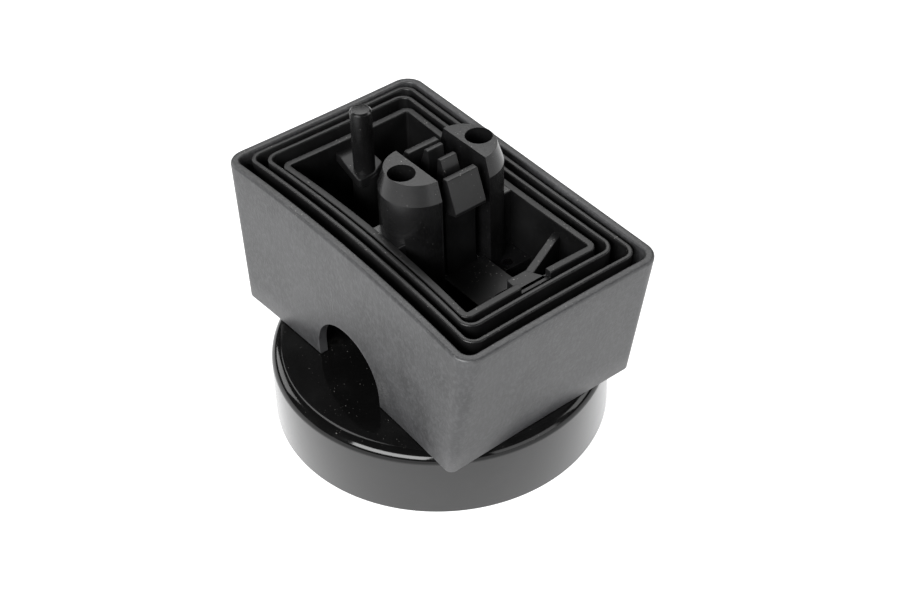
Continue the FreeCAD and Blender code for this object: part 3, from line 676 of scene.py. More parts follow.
class Finishes:
    """Every finish of the object, each made once."""

    def __init__(self) -> None:
        """Makes the materials."""
        wall_marks = (
            Mark((-4.9, -28.6, 44.0), (0.28, 6.0, 7.0), 0.5),
            Mark((13.5, -28.4, 27.0), (4.0, 4.0, 7.0), 0.8),
            Mark((40.0, -28.0, 24.0), (6.0, 6.0, 3.0), 0.4),
            Mark((-2.6, 28.6, 42.0), (0.28, 6.0, 8.0), 0.4),
        )
        # painted shade: the skirts, carrier, towers and latches get a darker copy of the housing's
        # black plastic, standing in for the shade inside the block
        painted_shade_black = (0.0030, 0.0030, 0.0031)
        recipes = {
            Slot.HOUSING: MouldedPlastic(
                "housing_black", grain=0.5, mottle=0.3, marks=wall_marks
            ),
            Slot.BASE: GlossPlastic("base_gloss_black"),
            Slot.SKIRT: MouldedPlastic("skirt_black", painted_shade_black, 0.42, 0.4, grain_depth=0.003),
            Slot.CARRIER: MouldedPlastic("carrier_black", painted_shade_black, 0.40, 0.3, grain_depth=0.004),
            Slot.TOWER: MouldedPlastic("tower_black", painted_shade_black, 0.24, 0.35, grain_depth=0.010),
            Slot.LATCH: MouldedPlastic("latch_black", painted_shade_black, 0.34, 0.25, grain_depth=0.004),
            Slot.FOOT: MouldedRubber("foot_rubber_black"),
            Slot.STEEL: PlatedSteel("zinc_plated_steel"),
            Slot.IRON: CastIron("ballast_cast_iron"),
            Slot.BEARING: BearingPlastic("bearing_white"),
        }
        self.materials = {slot: recipe.build() for slot, recipe in recipes.items()}

    def of(self, slot: Slot) -> bpy.types.Material:
        """The material of a slot."""
        return self.materials[slot]


# ---- Mesh building ----


class Shape:
    """Mesh recipes shared by the sub-assemblies; all lengths are in millimetres."""

    @staticmethod
    def mesh(name: str, points: Sequence[Point3], faces: Sequence[Sequence[int]]) -> bpy.types.Mesh:
        """A mesh from points and faces, with its normals turned outwards.

        Args:
            name: name of the mesh.
            points: corners in millimetres.
            faces: corner numbers of each face.

        Returns:
            The mesh, in metres.
        """
        made = bpy.data.meshes.new(name)
        made.from_pydata([Vector(point) * MM for point in points], [], faces)
        work = bmesh.new()
        work.from_mesh(made)
        bmesh.ops.remove_doubles(work, verts=work.verts, dist=WELD)
        bmesh.ops.recalc_face_normals(work, faces=work.faces)
        work.to_mesh(made)
        work.free()
        return made

    @staticmethod
    def loft(name: str, rows: Sequence[Sequence[Point3]], closed: bool) -> bpy.types.Mesh:
        """Rings of equal length joined with quads.

        Args:
            name: name of the mesh.
            rows: the rings in order.
            closed: whether the last ring joins the first; otherwise both end rings are filled.

        Returns:
            The mesh.
        """
        count = len(rows[0])
        points = [point for row in rows for point in row]
        faces: list[list[int]] = []
        spans = len(rows) if closed else len(rows) - 1
        for i in range(spans):
            a, b = i * count, ((i + 1) % len(rows)) * count
            for j in range(count):
                k = (j + 1) % count
                faces.append([a + j, a + k, b + k, b + j])
        if not closed:
            faces.append(list(range(count)))
            faces.append([(len(rows) - 1) * count + j for j in range(count)])
        return Shape.mesh(name, points, faces)

    @staticmethod
    def lathe(
        name: str, profile: Sequence[Point2], centre: Point2 = (0.0, 0.0), steps: int = 160
    ) -> bpy.types.Mesh:
        """A closed profile of (radius, height) turned about an upright axis.

        Args:
            name: name of the mesh.
            profile: the profile's corners, in order round the section.
            centre: where the axis stands.
            steps: how many flats make the circle.

        Returns:
            The mesh.
        """
        turns = [2 * math.pi * i / steps for i in range(steps)]
        circle = [(math.cos(turn), math.sin(turn)) for turn in turns]
        x, y = centre
        rows = [[(x + r * c, y + r * s, height) for c, s in circle] for r, height in profile]
        return Shape.loft(name, rows, closed=True)

    @staticmethod
    def rounded(corners: Sequence[Point3], steps: int = 6) -> list[Point2]:
        """A closed polygon whose corners are rounded.

        Args:
            corners: (x, y, radius) of each corner.
            steps: how many pieces make a round.

        Returns:
            The outline's points.
        """
        outline: list[Point2] = []
        count = len(corners)
        for i, (x, y, radius) in enumerate(corners):
            here = Vector((x, y))
            if radius <= 0:
                outline.append((x, y))
                continue
            before = (Vector(corners[i - 1][:2]) - here).normalized()
            after = (Vector(corners[(i + 1) % count][:2]) - here).normalized()
            half = before.angle(after) / 2
            middle = here + (before + after).normalized() * (radius / math.sin(half))
            start = here + before * (radius / math.tan(half)) - middle
            end = here + after * (radius / math.tan(half)) - middle
            for k in range(steps + 1):
                arm = start.lerp(end, k / steps).normalized() * radius
                outline.append((middle.x + arm.x, middle.y + arm.y))
        return outline

    @staticmethod
    def upright(name: str, outline: Sequence[Point2], low: float, high: float) -> bpy.types.Mesh:
        """An outline of (x, y) drawn up from low to high."""
        rows = [[(x, y, z) for x, y in outline] for z in (low, high)]
        return Shape.loft(name, rows, closed=False)

    @staticmethod
    def sideways(name: str, outline: Sequence[Point2], front: float, rear: float) -> bpy.types.Mesh:
        """An outline of (x, z) drawn along Y from front to rear."""
        rows = [[(x, y, z) for x, z in outline] for y in (front, rear)]
        return Shape.loft(name, rows, closed=False)


class Piece:
    """A visible piece: a mesh with soft edges, a finish and a body that it rides on."""

    def __init__(self, finishes: Finishes, mesh: bpy.types.Mesh, body: Body, slot: Slot) -> None:
        """Makes the piece's object and dresses it.

        Args:
            finishes: the object's finishes.
            mesh: the piece's mesh, in the block's coordinates.
            body: the body that it rides on.
            slot: the finish that it gets.
        """
        self.thing = place(mesh.name, mesh)
        self.thing.data.materials.append(finishes.of(slot))
        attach(self.thing, body.value)
        LOG.info("%s rides on %s in %s", mesh.name, body.value, slot.value)

    def smooth(self, angle: float = 35.0) -> "Piece":
        """Shades the piece smoothly.

        Args:
            angle: faces that meet at more than this keep a crease, in degrees.

        Returns:
            The piece.
        """
        faces = self.thing.data.polygons
        faces.foreach_set("use_smooth", [True] * len(faces))
        self.thing.data.set_sharp_from_angle(angle=math.radians(angle))
        return self

    def soften(self, width: float, angle: float = 35.0, segments: int = 3) -> "Piece":
        """Rounds the piece's sharp edges.

        Args:
            width: width of the round, in millimetres.
            angle: edges sharper than this are rounded, in degrees.
            segments: how many flats make the round.

        Returns:
            The piece.
        """
        bevel = self.thing.modifiers.new("soft_edges", "BEVEL")
        bevel.width = width * MM
        bevel.segments = segments
        bevel.limit_method = "ANGLE"
        bevel.angle_limit = math.radians(angle)
        bevel.harden_normals = True
        return self

    def carve(self, cutter_mesh: bpy.types.Mesh) -> None:
        """Cuts another mesh's volume out of the piece.

        Args:
            cutter_mesh: the mesh to cut with; it is used up.
        """
        cutter = place("cutter", cutter_mesh)
        cut = self.thing.modifiers.new("carve", "BOOLEAN")
        cut.operation = "DIFFERENCE"
        cut.solver = "EXACT"
        cut.object = cutter
        graph = bpy.context.evaluated_depsgraph_get()
        carved = bpy.data.meshes.new_from_object(self.thing.evaluated_get(graph))
        self.thing.modifiers.clear()
        old, self.thing.data = self.thing.data, carved
        name = old.name
        bpy.data.meshes.remove(old)
        carved.name = name
        bpy.data.objects.remove(cutter)
        bpy.data.meshes.remove(cutter_mesh)

    def stands_for(self, *nodes: str) -> None:
        """Hides the nodes of the frame that this piece stands for."""
        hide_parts(*nodes)


class CadPiece:
    """A node of the frame whose shape stays, with a better finish."""

    @staticmethod
    def dress(finishes: Finishes, node: str, slot: Slot) -> None:
        """Gives a node its finish.

        Args:
            finishes: the object's finishes.
            node: name of the node.
            slot: the finish that it gets.
        """
        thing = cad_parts[node]
        thing.data.materials.clear()
        thing.data.materials.append(finishes.of(slot))
        LOG.info("%s keeps its shape in %s", node, slot.value)


# ---- Bowed frames ----


@dataclass(frozen=True)
class RingSize:
    """Plan size of a bowed rectangle: its reaches, half width, middle and corner round."""

    left: float
    right: float
    half_width: float
    middle: float
    corner: float

    def towards(self, other: "RingSize", share: float) -> "RingSize":
        """The size a share of the way to another; the share may pass 1."""
        pairs = zip(astuple(self), astuple(other))
        return RingSize(*(a + (b - a) * share for a, b in pairs))


@dataclass(frozen=True)
class Rim:
    """The crowned and sloping surface that every wall ends at."""

    left: float = 47.5
    right: float = 48.2
    left_height: float = 63.0
    right_height: float = 60.2
    crown: float = 1.3

    @property
    def mean(self) -> float:
        """Height of the straight slope at its middle."""
        return (self.left_height + self.right_height) / 2

    def height(self, x: float) -> float:
        """Height of the rim.

        Args:
            x: place along the block.

        Returns:
            The height there.
        """
        middle, half = (self.right - self.left) / 2, (self.right + self.left) / 2
        slope = (self.right_height - self.left_height) / (self.left + self.right)
        crown = self.crown * (1 - ((x - middle) / half) ** 2)
        return self.left_height + slope * (x + self.left) + crown


@dataclass(frozen=True)
class Row:
    """One ring of a wall: how far in it lies, and its height or its drop below the rim."""

    inset: float
    height: Optional[float] = None
    drop: float = 0.0


@dataclass(frozen=True)
class BowedWall:
    """A wall that runs round a bowed rectangle and tapers from its foot to the rim."""

    foot: RingSize
    top: RingSize
    foot_height: float
    rim: Rim
    long_bow: float = 1.1
    short_bow: float = 0.3
    side_steps: int = 44
    end_steps: int = 26
    corner_steps: int = 12
    rim_steps: int = 6
    least_corner: float = 0.6
    slice_reach: float = 2.0

    def size_at(self, height: float) -> RingSize:
        """Plan size of the outer face at a height."""
        share = (height - self.foot_height) / (self.rim.mean - self.foot_height)
        return self.foot.towards(self.top, share)

    def corner_round(
        self, half_x: float, half_y: float, corner: float
    ) -> tuple[Vector, Vector, Vector]:
        """The round of the rear right corner, which touches both bowed sides.

        Args:
            half_x: half the ring's length.
            half_y: half the ring's width.
            corner: radius of the round.

        Returns:
            The round's centre and its arms to the long and the short side.
        """
        long_r = (half_x**2 + self.long_bow**2) / (2 * self.long_bow)
        short_r = (half_y**2 + self.short_bow**2) / (2 * self.short_bow)
        long_mid = Vector((0.0, half_y - self.long_bow + long_r))
        short_mid = Vector((half_x - self.short_bow + short_r, 0.0))
        x, y = half_x - corner, half_y - corner
        for _ in range(20):
            x = short_mid.x - math.sqrt((short_r + corner) ** 2 - y**2)
            y = long_mid.y - math.sqrt((long_r + corner) ** 2 - x**2)
        centre = Vector((x, y))
        to_long = (long_mid - centre).normalized() * corner
        to_short = (short_mid - centre).normalized() * corner
        return centre, to_long, to_short

    @staticmethod
    def arc(a: Vector, b: Vector, sagitta: float, inward: Vector, steps: int) -> list[Vector]:
        """Points of a shallow arc from a to b, without b.

        Args:
            a: first point.
            b: last point.
            sagitta: how far the arc bows.
            inward: the way it bows.
            steps: how many points it has.

        Returns:
            The points.
        """
        half = (b - a).length / 2
        radius = (half**2 + sagitta**2) / (2 * sagitta)
        points = []
        for i in range(steps):
            along = -1 + 2 * i / steps
            rise = math.sqrt(radius**2 - (along * half) ** 2) - (radius - sagitta)
            points.append(a.lerp(b, i / steps) + inward * rise)
        return points

    def plan(self, size: RingSize, inset: float) -> list[Vector]:
        """Plan points of a ring, anticlockwise from the front right corner.

        Args:
            size: outer size of the ring.
            inset: how far the ring lies inside it.

        Returns:
            The points.
        """
        half_x = (size.left + size.right) / 2 - inset
        half_y = size.half_width - inset
        corner = max(size.corner - inset, self.least_corner)
        middle = Vector(((size.right - size.left) / 2, size.middle))
        centre, to_long, to_short = self.corner_round(half_x, half_y, corner)
        long_half, short_half = (centre + to_long).x, (centre + to_short).y
        long_sag = (half_y - self.long_bow) - (centre + to_long).y
        short_sag = (half_x - self.short_bow) - (centre + to_short).x
        points: list[Vector] = []
        for sx, sy in ((1, -1), (1, 1), (-1, 1), (-1, -1)):
            arms = [to_long, to_short] if sx != sy else [to_short, to_long]
            for k in range(self.corner_steps):
                arm = arms[0].slerp(arms[1], k / self.corner_steps).normalized() * corner
                points.append(Vector((sx * (centre.x + arm.x), sy * (centre.y + arm.y))))
            if sx != sy:
                a = Vector((sx * (centre + to_short).x, sy * short_half))
                b = Vector((a.x, -a.y))
                points += self.arc(a, b, abs(short_sag), Vector((-sx, 0.0)), self.end_steps)
            else:
                a = Vector((sx * long_half, sy * (centre + to_long).y))
                b = Vector((-a.x, a.y))
                points += self.arc(a, b, abs(long_sag), Vector((0.0, -sy)), self.side_steps)
        return [middle + point for point in points]

    def ring(self, row: Row) -> list[Point3]:
        """The ring of a row, with each point at its own height.

        Args:
            row: the row; its points follow the rim's slope unless it has a height.

        Returns:
            The ring's points.
        """
        mean = row.height if row.height is not None else self.rim.mean - row.drop
        level = self.plan(self.size_at(mean), row.inset)
        if row.height is not None:
            return [(point.x, point.y, row.height) for point in level]
        reach = self.slice_reach
        slices = [self.plan(self.size_at(mean + part), row.inset) for part in (-reach, reach)]
        points: list[Point3] = []
        for here, under, over in zip(level, *slices):
            height = self.rim.height(here.x) - row.drop
            point = under.lerp(over, (height - mean + reach) / (2 * reach))
            points.append((point.x, point.y, self.rim.height(point.x) - row.drop))
        return points

    def section(
        self, thickness: float, drop: float, outer_round: float, inner_round: float
    ) -> list[Row]:
        """Rows of a rim with a round on both edges, from the outside in.

        Args:
            thickness: thickness of the wall.
            drop: how far the rim lies below the shared rim surface.
            outer_round: radius of the outer edge.
            inner_round: radius of the inner edge.

        Returns:
            The rows.
        """
        turns = [math.pi / 2 * k / self.rim_steps for k in range(self.rim_steps + 1)]
        arms = [(1 - math.cos(turn), 1 - math.sin(turn)) for turn in turns]
        rows = [Row(outer_round * c, drop=drop + outer_round * s) for c, s in arms]
        rows += [Row(thickness - inner_round * s, drop=drop + inner_round * c) for c, s in arms]
        return rows

    def mesh(self, name: str, rows: Sequence[Row]) -> bpy.types.Mesh:
        """A closed wall through its rows."""
        return Shape.loft(name, [self.ring(row) for row in rows], closed=True)

    def plate(self, name: str, inset: float, low: float, high: float) -> bpy.types.Mesh:
        """A plate that fills the wall's inside between two heights."""
        return Shape.loft(name, [self.ring(Row(inset, z)) for z in (low, high)], closed=False)


# ---- Sub-assemblies ----


@dataclass
class RoundBase:
    """Gloss cup, bottom plate, rubber ring, ballast and the bearing parts; it stands still."""

    finishes: Finishes
    radius: float = 43.0
    flare: float = 0.3
    top: float = 20.0
    shoulder: float = 3.2
    foot_proud: float = 0.8
    wall: float = 2.4
    roof: float = 3.0
    recess: Point2 = (10.1, 1.2)
    boss: Point2 = (10.5, 5.0)
    bore: float = 5.05
    ring: Point2 = (34.6, 38.9)
    ring_height: float = 1.8
    groove_offset: float = 0.85
    groove_half: float = 0.3
    groove_depth: float = 0.35

    def build_cover(self) -> None:
        """The turned cup with its rounded shoulder."""
        low = self.foot_proud
        under = self.top - self.roof
        inner = self.radius - self.wall
        corners = [
            (self.radius + self.flare, low, 0.35),
            (self.radius, self.top, self.shoulder),
            (self.recess[0], self.top, 0.2),
            (self.recess[0], self.top - self.recess[1], 0.0),
            (self.bore, self.top - self.recess[1], 0.0),
            (self.bore, under - self.boss[1], 0.0),
            (self.boss[0], under - self.boss[1], 0.3),
            (self.boss[0], under, 0.3),
            (inner, under, 0.5),
            (inner + self.flare, low, 0.3),
        ]
        mesh = Shape.lathe("base_cup", Shape.rounded(corners, 9), steps=256)
        Piece(self.finishes, mesh, Body.BASE, Slot.BASE).smooth(angle=30).stands_for("base_cover")

    def build_foot_ring(self) -> None:
        """The rubber ring with two shallow grooves underneath."""
        inner, outer = self.ring
        middle = (inner + outer) / 2
        half, depth = self.groove_half, self.groove_depth
        corners = [(inner, self.ring_height, 0.1), (inner, 0.0, 0.35)]
        for groove in (middle - self.groove_offset, middle + self.groove_offset):
            corners += [(groove - half, 0.0, 0.1), (groove - half + 0.1, depth, 0.0)]
            corners += [(groove + half - 0.1, depth, 0.0), (groove + half, 0.0, 0.1)]
        corners += [(outer, 0.0, 0.35), (outer, self.ring_height, 0.1)]
        mesh = Shape.lathe("rubber_ring", Shape.rounded(corners, 4), steps=192)
        Piece(self.finishes, mesh, Body.BASE, Slot.FOOT).smooth(angle=30).stands_for("foot_ring")

    def build(self) -> None:
        """Builds and dresses the whole base."""
        self.build_cover()
        self.build_foot_ring()
        dressed = {
            "base_plate": Slot.CARRIER,
            "base_screws": Slot.STEEL,
            "ballast_ring": Slot.IRON,
            "pivot_bush": Slot.BEARING,
            "thrust_washer": Slot.BEARING,
        }
        for node, slot in dressed.items():
            CadPiece.dress(self.finishes, node, slot)


@dataclass
class Pivot:
    """Bolt, washers, cup spring and lock nut that hold the block to the base."""

    finishes: Finishes
    nodes: tuple[str, ...] = ("pivot_bolt", "head_washer", "cup_spring", "low_washer", "lock_nut")

    def build(self) -> None:
        """Dresses the pivot's steel parts."""
        for node in self.nodes:
            CadPiece.dress(self.finishes, node, Slot.STEEL)


@dataclass
class Housing:
    """Tapered outer wall with a cable arch on both long sides, its deck and its hub."""

    finishes: Finishes
    rim: Rim = field(default_factory=Rim)
    low: float = 20.25
    levels: tuple[float, ...] = (28.0, 37.0, 46.0, 54.0)
    thickness: float = 2.3
    foot_round: float = 0.3
    rim_rounds: Point2 = (0.8, 0.5)
    deck: Point2 = (37.5, 40.0)
    arch_middle: float = -0.8
    arch_radius: float = 12.5
    arch_spring: float = 23.7
    arch_steps: int = 48
    cutter_reach: float = 50.0
    hub_radius: float = 8.0
    hub_low: float = 20.2
    bore: float = 3.1

    @property
    def wall(self) -> BowedWall:
        """The outer wall's taper.

        Returns:
            The wall.
        """
        foot = RingSize(45.0, 40.2, 28.7, 0.0, 2.0)
        top = RingSize(self.rim.left, self.rim.right, 29.5, 0.0, 5.0)
        return BowedWall(foot, top, self.low, self.rim)

    def build_wall(self) -> None:
        """The outer wall with its rounded rim and both arches."""
        wall, low, depth, edge = self.wall, self.low, self.thickness, self.foot_round
        rows = [Row(edge, low), Row(edge * 0.3, low + edge * 0.3), Row(0.0, low + edge)]
        rows += [Row(0.0, height) for height in self.levels]
        rows += wall.section(depth, 0.0, *self.rim_rounds)
        rows += [Row(depth, height) for height in reversed(self.levels)]
        rows += [Row(depth, low + 0.2), Row(depth - 0.2, low)]
        mesh = wall.mesh("housing_wall", rows)
        piece = Piece(self.finishes, mesh, Body.BLOCK, Slot.HOUSING)
        middle, radius = self.arch_middle, self.arch_radius
        outline = [(middle + radius, low - 3.0)]
        for k in range(self.arch_steps + 1):
            turn = math.pi * k / self.arch_steps
            height = self.arch_spring + radius * math.sin(turn)
            outline.append((middle + radius * math.cos(turn), height))
        outline.append((middle - radius, low - 3.0))
        reach = self.cutter_reach
        piece.carve(Shape.sideways("arch_cutter", outline, -reach, reach))
        piece.smooth(angle=32).soften(0.22, angle=50, segments=2).stands_for("housing")

    def build_inside(self) -> None:
        """The deck that closes the wall's inside and the hub that stands on the washer."""
        deck = self.wall.plate("housing_deck", self.thickness - 0.4, *self.deck)
        top = self.deck[0] + 0.2
        corners = [(self.bore, self.hub_low, 0.0), (self.hub_radius, self.hub_low, 0.4)]
        corners += [(self.hub_radius, top, 0.0), (self.bore, top, 0.0)]
        hub = Shape.lathe("housing_hub", Shape.rounded(corners))
        for mesh in (deck, hub):
            Piece(self.finishes, mesh, Body.BLOCK, Slot.HOUSING).smooth()

    def build(self) -> None:
        """Builds the housing."""
        self.build_wall()
        self.build_inside()


@dataclass
class Skirt:
    """A thin loose frame that stands on the deck and can rise."""

    finishes: Finishes
    name: str
    node: str
    body: Body
    foot: RingSize
    top: RingSize
    rim: Rim = field(default_factory=Rim)
    low: float = 40.0
    waist: float = 50.0
    thickness: float = 1.3
    drop: float = 0.35
    edge: float = 0.42
    foot_edge: float = 0.15

    def build(self) -> None:
        """Builds the frame."""
        wall = BowedWall(self.foot, self.top, self.low, self.rim)
        low, depth, edge = self.low, self.thickness, self.foot_edge
        rows = [Row(edge, low), Row(0.0, low + edge), Row(0.0, self.waist)]
        rows += wall.section(depth, self.drop, self.edge, self.edge)
        rows += [Row(depth, self.waist), Row(depth, low + edge), Row(depth - edge, low)]
        piece = Piece(self.finishes, wall.mesh(self.name, rows), self.body, Slot.SKIRT)
        piece.smooth().stands_for(self.node)


@dataclass
class Carrier:
    """Innermost wall with its floor, notch, sill, brace, screw posts, pin and shelf."""

    finishes: Finishes
    rim: Rim = field(default_factory=Rim)
    size: RingSize = RingSize(36.2, 36.2, 20.0, 0.0, 2.4)
    low: float = 40.0
    floor: float = 42.0
    sunk: float = 41.5
    waist: float = 50.0
    thickness: float = 1.9
    drop: float = 0.5
    edge: float = 0.28
    notch: Point2 = (-3.4, 5.2)
    cutter_ends: Point2 = (30.0, 45.0)
    cutter_top: float = 90.0
    sill: float = 59.0
    sill_reach: float = 5.2
    brace_ends: tuple[Point2, Point2] = ((24.3, 16.9), (31.0, 2.2))
    brace_width: float = 2.1
    brace_top: float = 58.2
    posts: Point2 = (29.5, 13.0)
    post_radius: float = 3.2
    post_top: float = 47.5
    pin: Point2 = (-24.2, -3.0)
    pin_radius: float = 2.75
    pin_top: float = 77.8
    pin_post_radius: float = 3.2
    pin_root: float = 51.2
    shelf: float = 60.2
    shelf_depth: float = 2.6
    shelf_round: float = 0.8

    def add(self, mesh: bpy.types.Mesh, edge: float = 0.25) -> None:
        """Adds a piece of the carrier with soft edges."""
        Piece(self.finishes, mesh, Body.BLOCK, Slot.CARRIER).smooth().soften(edge)

    def build_wall(self) -> None:
        """The rimmed wall with its notch, and the floor."""
        wall = BowedWall(self.size, self.size, self.low, self.rim)
        rows = [Row(0.0, self.low), Row(0.0, self.waist)]
        rows += wall.section(self.thickness, self.drop, self.edge, self.edge)
        rows += [Row(self.thickness, self.waist), Row(self.thickness, self.sunk)]
        mesh = wall.mesh("carrier_wall", rows)
        piece = Piece(self.finishes, mesh, Body.BLOCK, Slot.CARRIER)
        front, rear = self.notch
        near, far = self.cutter_ends
        outline = [(near, front), (far, front), (far, rear), (near, rear)]
        piece.carve(Shape.upright("notch_cutter", outline, self.sill, self.cutter_top))
        piece.smooth(angle=32).soften(0.2, angle=50, segments=2).stands_for("carrier")
        inset, under = self.thickness - 0.3, self.low + 0.02
        self.add(wall.plate("carrier_floor", inset, under, self.floor))

    def build_sill_and_brace(self) -> None:
        """The fan-shaped sill behind the notch and the diagonal brace to the rear wall."""
        front, rear = self.notch
        end = self.size.right - self.thickness / 2
        start = end - self.sill_reach
        fan = [(end, front, 0), (end, rear, 0)]
        fan += [(start, rear - 2.6, 0.4), (start, front + 0.4, 0.4)]
        self.add(Shape.upright("notch_sill", Shape.rounded(fan, 4), self.sunk, self.sill))
        a, b = (Vector(end_point) for end_point in self.brace_ends)
        along = (b - a).normalized()
        across = Vector((-along.y, along.x)) * (self.brace_width / 2)
        a = a - along * self.brace_width
        outline = [tuple(p) for p in (a + across, b + across, b - across, a - across)]
        self.add(Shape.upright("diagonal_brace", outline, self.sunk, self.brace_top))

    def build_shelf(self) -> None:
        """The pin's shelf and the post under it."""
        x, y = self.pin
        left, edge = -self.size.left + self.thickness / 2, self.shelf_round
        outline = [(left, y - 1.4, 0), (x + 3.4, y - 4.1, edge), (x + 3.0, y + 1.0, edge)]
        outline += [(x + 0.4, y + 5.2, edge), (left, y + 6.4, 0)]
        shelf = Shape.rounded(outline, 4)
        self.add(Shape.upright("pin_shelf", shelf, self.shelf - self.shelf_depth, self.shelf), 0.35)
        radius, top = self.pin_post_radius, self.shelf - 0.8
        post = [(0, self.sunk), (radius, self.sunk), (radius, top), (0, top)]
        self.add(Shape.lathe("pin_post", post, self.pin, 72))

    def build_pin(self) -> None:
        """The locating pin."""
        radius, root, top = self.pin_radius, self.pin_root, self.pin_top
        profile = [(0, root, 0), (radius, root, 0), (radius, self.shelf + 0.2, 0)]
        profile += [(radius - 0.05, top - 0.5, 0.15), (radius - 0.5, top, 0.15), (0, top, 0)]
        pin = Shape.lathe("locating_pin", Shape.rounded(profile, 4), self.pin, 96)
        Piece(self.finishes, pin, Body.BLOCK, Slot.TOWER).smooth().stands_for("guide_pin")

    def build_posts(self) -> None:
        """The four screw posts."""
        column = [(0, self.sunk), (self.post_radius + 0.2, self.sunk)]
        column += [(self.post_radius, self.post_top), (0, self.post_top)]
        for i, (sx, sy) in enumerate(((-1, -1), (-1, 1), (1, -1), (1, 1))):
            spot = (sx * self.posts[0], sy * self.posts[1])
            self.add(Shape.lathe(f"screw_post_{i + 1}", column, spot, 64))

    def build(self) -> None:
        """Builds the carrier and dresses its screws."""
        self.build_wall()
        self.build_sill_and_brace()
        self.build_shelf()
        self.build_pin()
        self.build_posts()
        CadPiece.dress(self.finishes, "carrier_screws", Slot.STEEL)


@dataclass
class Tower:
    """A D-shaped screw tower with a chamfered cap, its web, its foot and its captive nut."""

    finishes: Finishes
    side: Side
    middle: float = 3.0
    flat: float = 7.0
    radius: float = 9.3
    cap: float = 5.0
    cap_draw: float = 1.55
    top: float = 78.0
    bore: float = 3.3
    bore_offset: float = 4.4
    low: float = 42.0
    waist: float = 60.0
    root_flare: float = 0.15
    half_steps: int = 64
    web: Point2 = (5.0, 62.1)
    foot: Point2 = (12.5, 46.0)
    toe: Point3 = (6.6, 5.6, 48.2)
    wall: float = 18.0

    @property
    def name(self) -> str:
        """The side's name."""
        return self.side.name.lower()

    def ring(self, radius: float, height: float) -> list[Point3]:
        """A D-shaped ring.

        Args:
            radius: radius of its round side.
            height: height that it lies at.

        Returns:
            The ring's points.
        """
        sign = self.side.value
        points = []
        for k in range(self.half_steps + 1):
            turn = math.pi * k / self.half_steps
            x = self.middle + radius * math.cos(turn)
            points.append((x, sign * (self.flat + radius * math.sin(turn)), height))
        return points

    def slab(self, name: str, half: float, near: float, far: float, high: float) -> None:
        """A block of the tower's root.

        Args:
            name: name of the block.
            half: half its length.
            near: where it starts, from the centre plane.
            far: where it ends, from the centre plane.
            high: height of its top.
        """
        left, right = self.middle - half, self.middle + half
        near, far = self.side.value * near, self.side.value * far
        outline = [(left, near), (right, near), (right, far), (left, far)]
        mesh = Shape.upright(f"{self.name}_{name}", outline, self.low, high)
        Piece(self.finishes, mesh, Body.BLOCK, Slot.TOWER).smooth().soften(0.3)

    def build(self) -> None:
        """Builds the tower."""
        rows = [
            self.ring(self.radius + self.root_flare, self.low),
            self.ring(self.radius, self.waist),
            self.ring(self.radius, self.top - self.cap),
            self.ring(self.radius - self.cap_draw, self.top),
        ]
        mesh = Shape.loft(f"{self.name}_screw_tower", rows, closed=False)
        piece = Piece(self.finishes, mesh, Body.BLOCK, Slot.TOWER)
        spot = (self.middle, self.side.value * (self.flat + self.bore_offset))
        under, over = self.low - 2, self.top + 5
        hole = [(0, under), (self.bore, under), (self.bore, over), (0, over)]
        piece.carve(Shape.lathe("bore_cutter", hole, spot, 72))
        piece.smooth(angle=11).soften(0.22, angle=11).stands_for(f"{self.name}_tower")
        self.slab("tower_web", self.web[0], self.flat + 3.0, self.wall, self.web[1])
        self.slab("tower_foot", self.foot[0], self.flat, self.wall, self.foot[1])
        self.slab("tower_toe", self.toe[0], self.toe[1], self.flat + 2.0, self.toe[2])
        CadPiece.dress(self.finishes, f"{self.name}_tower_nut", Slot.STEEL)


@dataclass(frozen=True)
class Hook:
    """Sizes of a hooked arm; lengths are measured from the middle of the towers."""

    half: float
    root: float
    root_round: float
    back: float
    back_round: float
    face: float
    throat: float
    throat_round: float
    nose: float
    nose_height: float
    lip: float
    top_ends: Point2
    top: float
    tip_round: float
    bevel: float

    def outline(self) -> list[Point2]:
        """The arm's side view.

        Returns:
            Its outline, as (across, height).
        """
        near, far = self.top_ends
        corners = [
            (self.back, self.root, self.root_round),
            (self.face, self.root, self.root_round),
            (self.face, self.nose_height - self.throat, self.throat_round),
            (self.nose, self.nose_height, self.tip_round),
            (self.nose, self.nose_height + self.lip, self.tip_round),
            (far, self.top, self.tip_round),
            (near, self.top, self.tip_round),
            (self.back, self.nose_height, self.back_round),
        ]
        return Shape.rounded(corners, 4)


SNAP_ARM = Hook(
    half=4.5, root=44.4, root_round=0.3, back=5.0, back_round=0.6, face=7.0, throat=1.2,
    throat_round=0.5, nose=11.0, nose_height=68.2, lip=0.8, top_ends=(6.3, 8.0), top=76.7,
    tip_round=0.25, bevel=0.22,
)
STOP_TAB = Hook(
    half=2.35, root=45.5, root_round=0.0, back=1.4, back_round=0.4, face=3.0, throat=1.0,
    throat_round=0.3, nose=4.6, nose_height=73.8, lip=0.7, top_ends=(1.8, 3.0), top=78.8,
    tip_round=0.2, bevel=0.18,
)


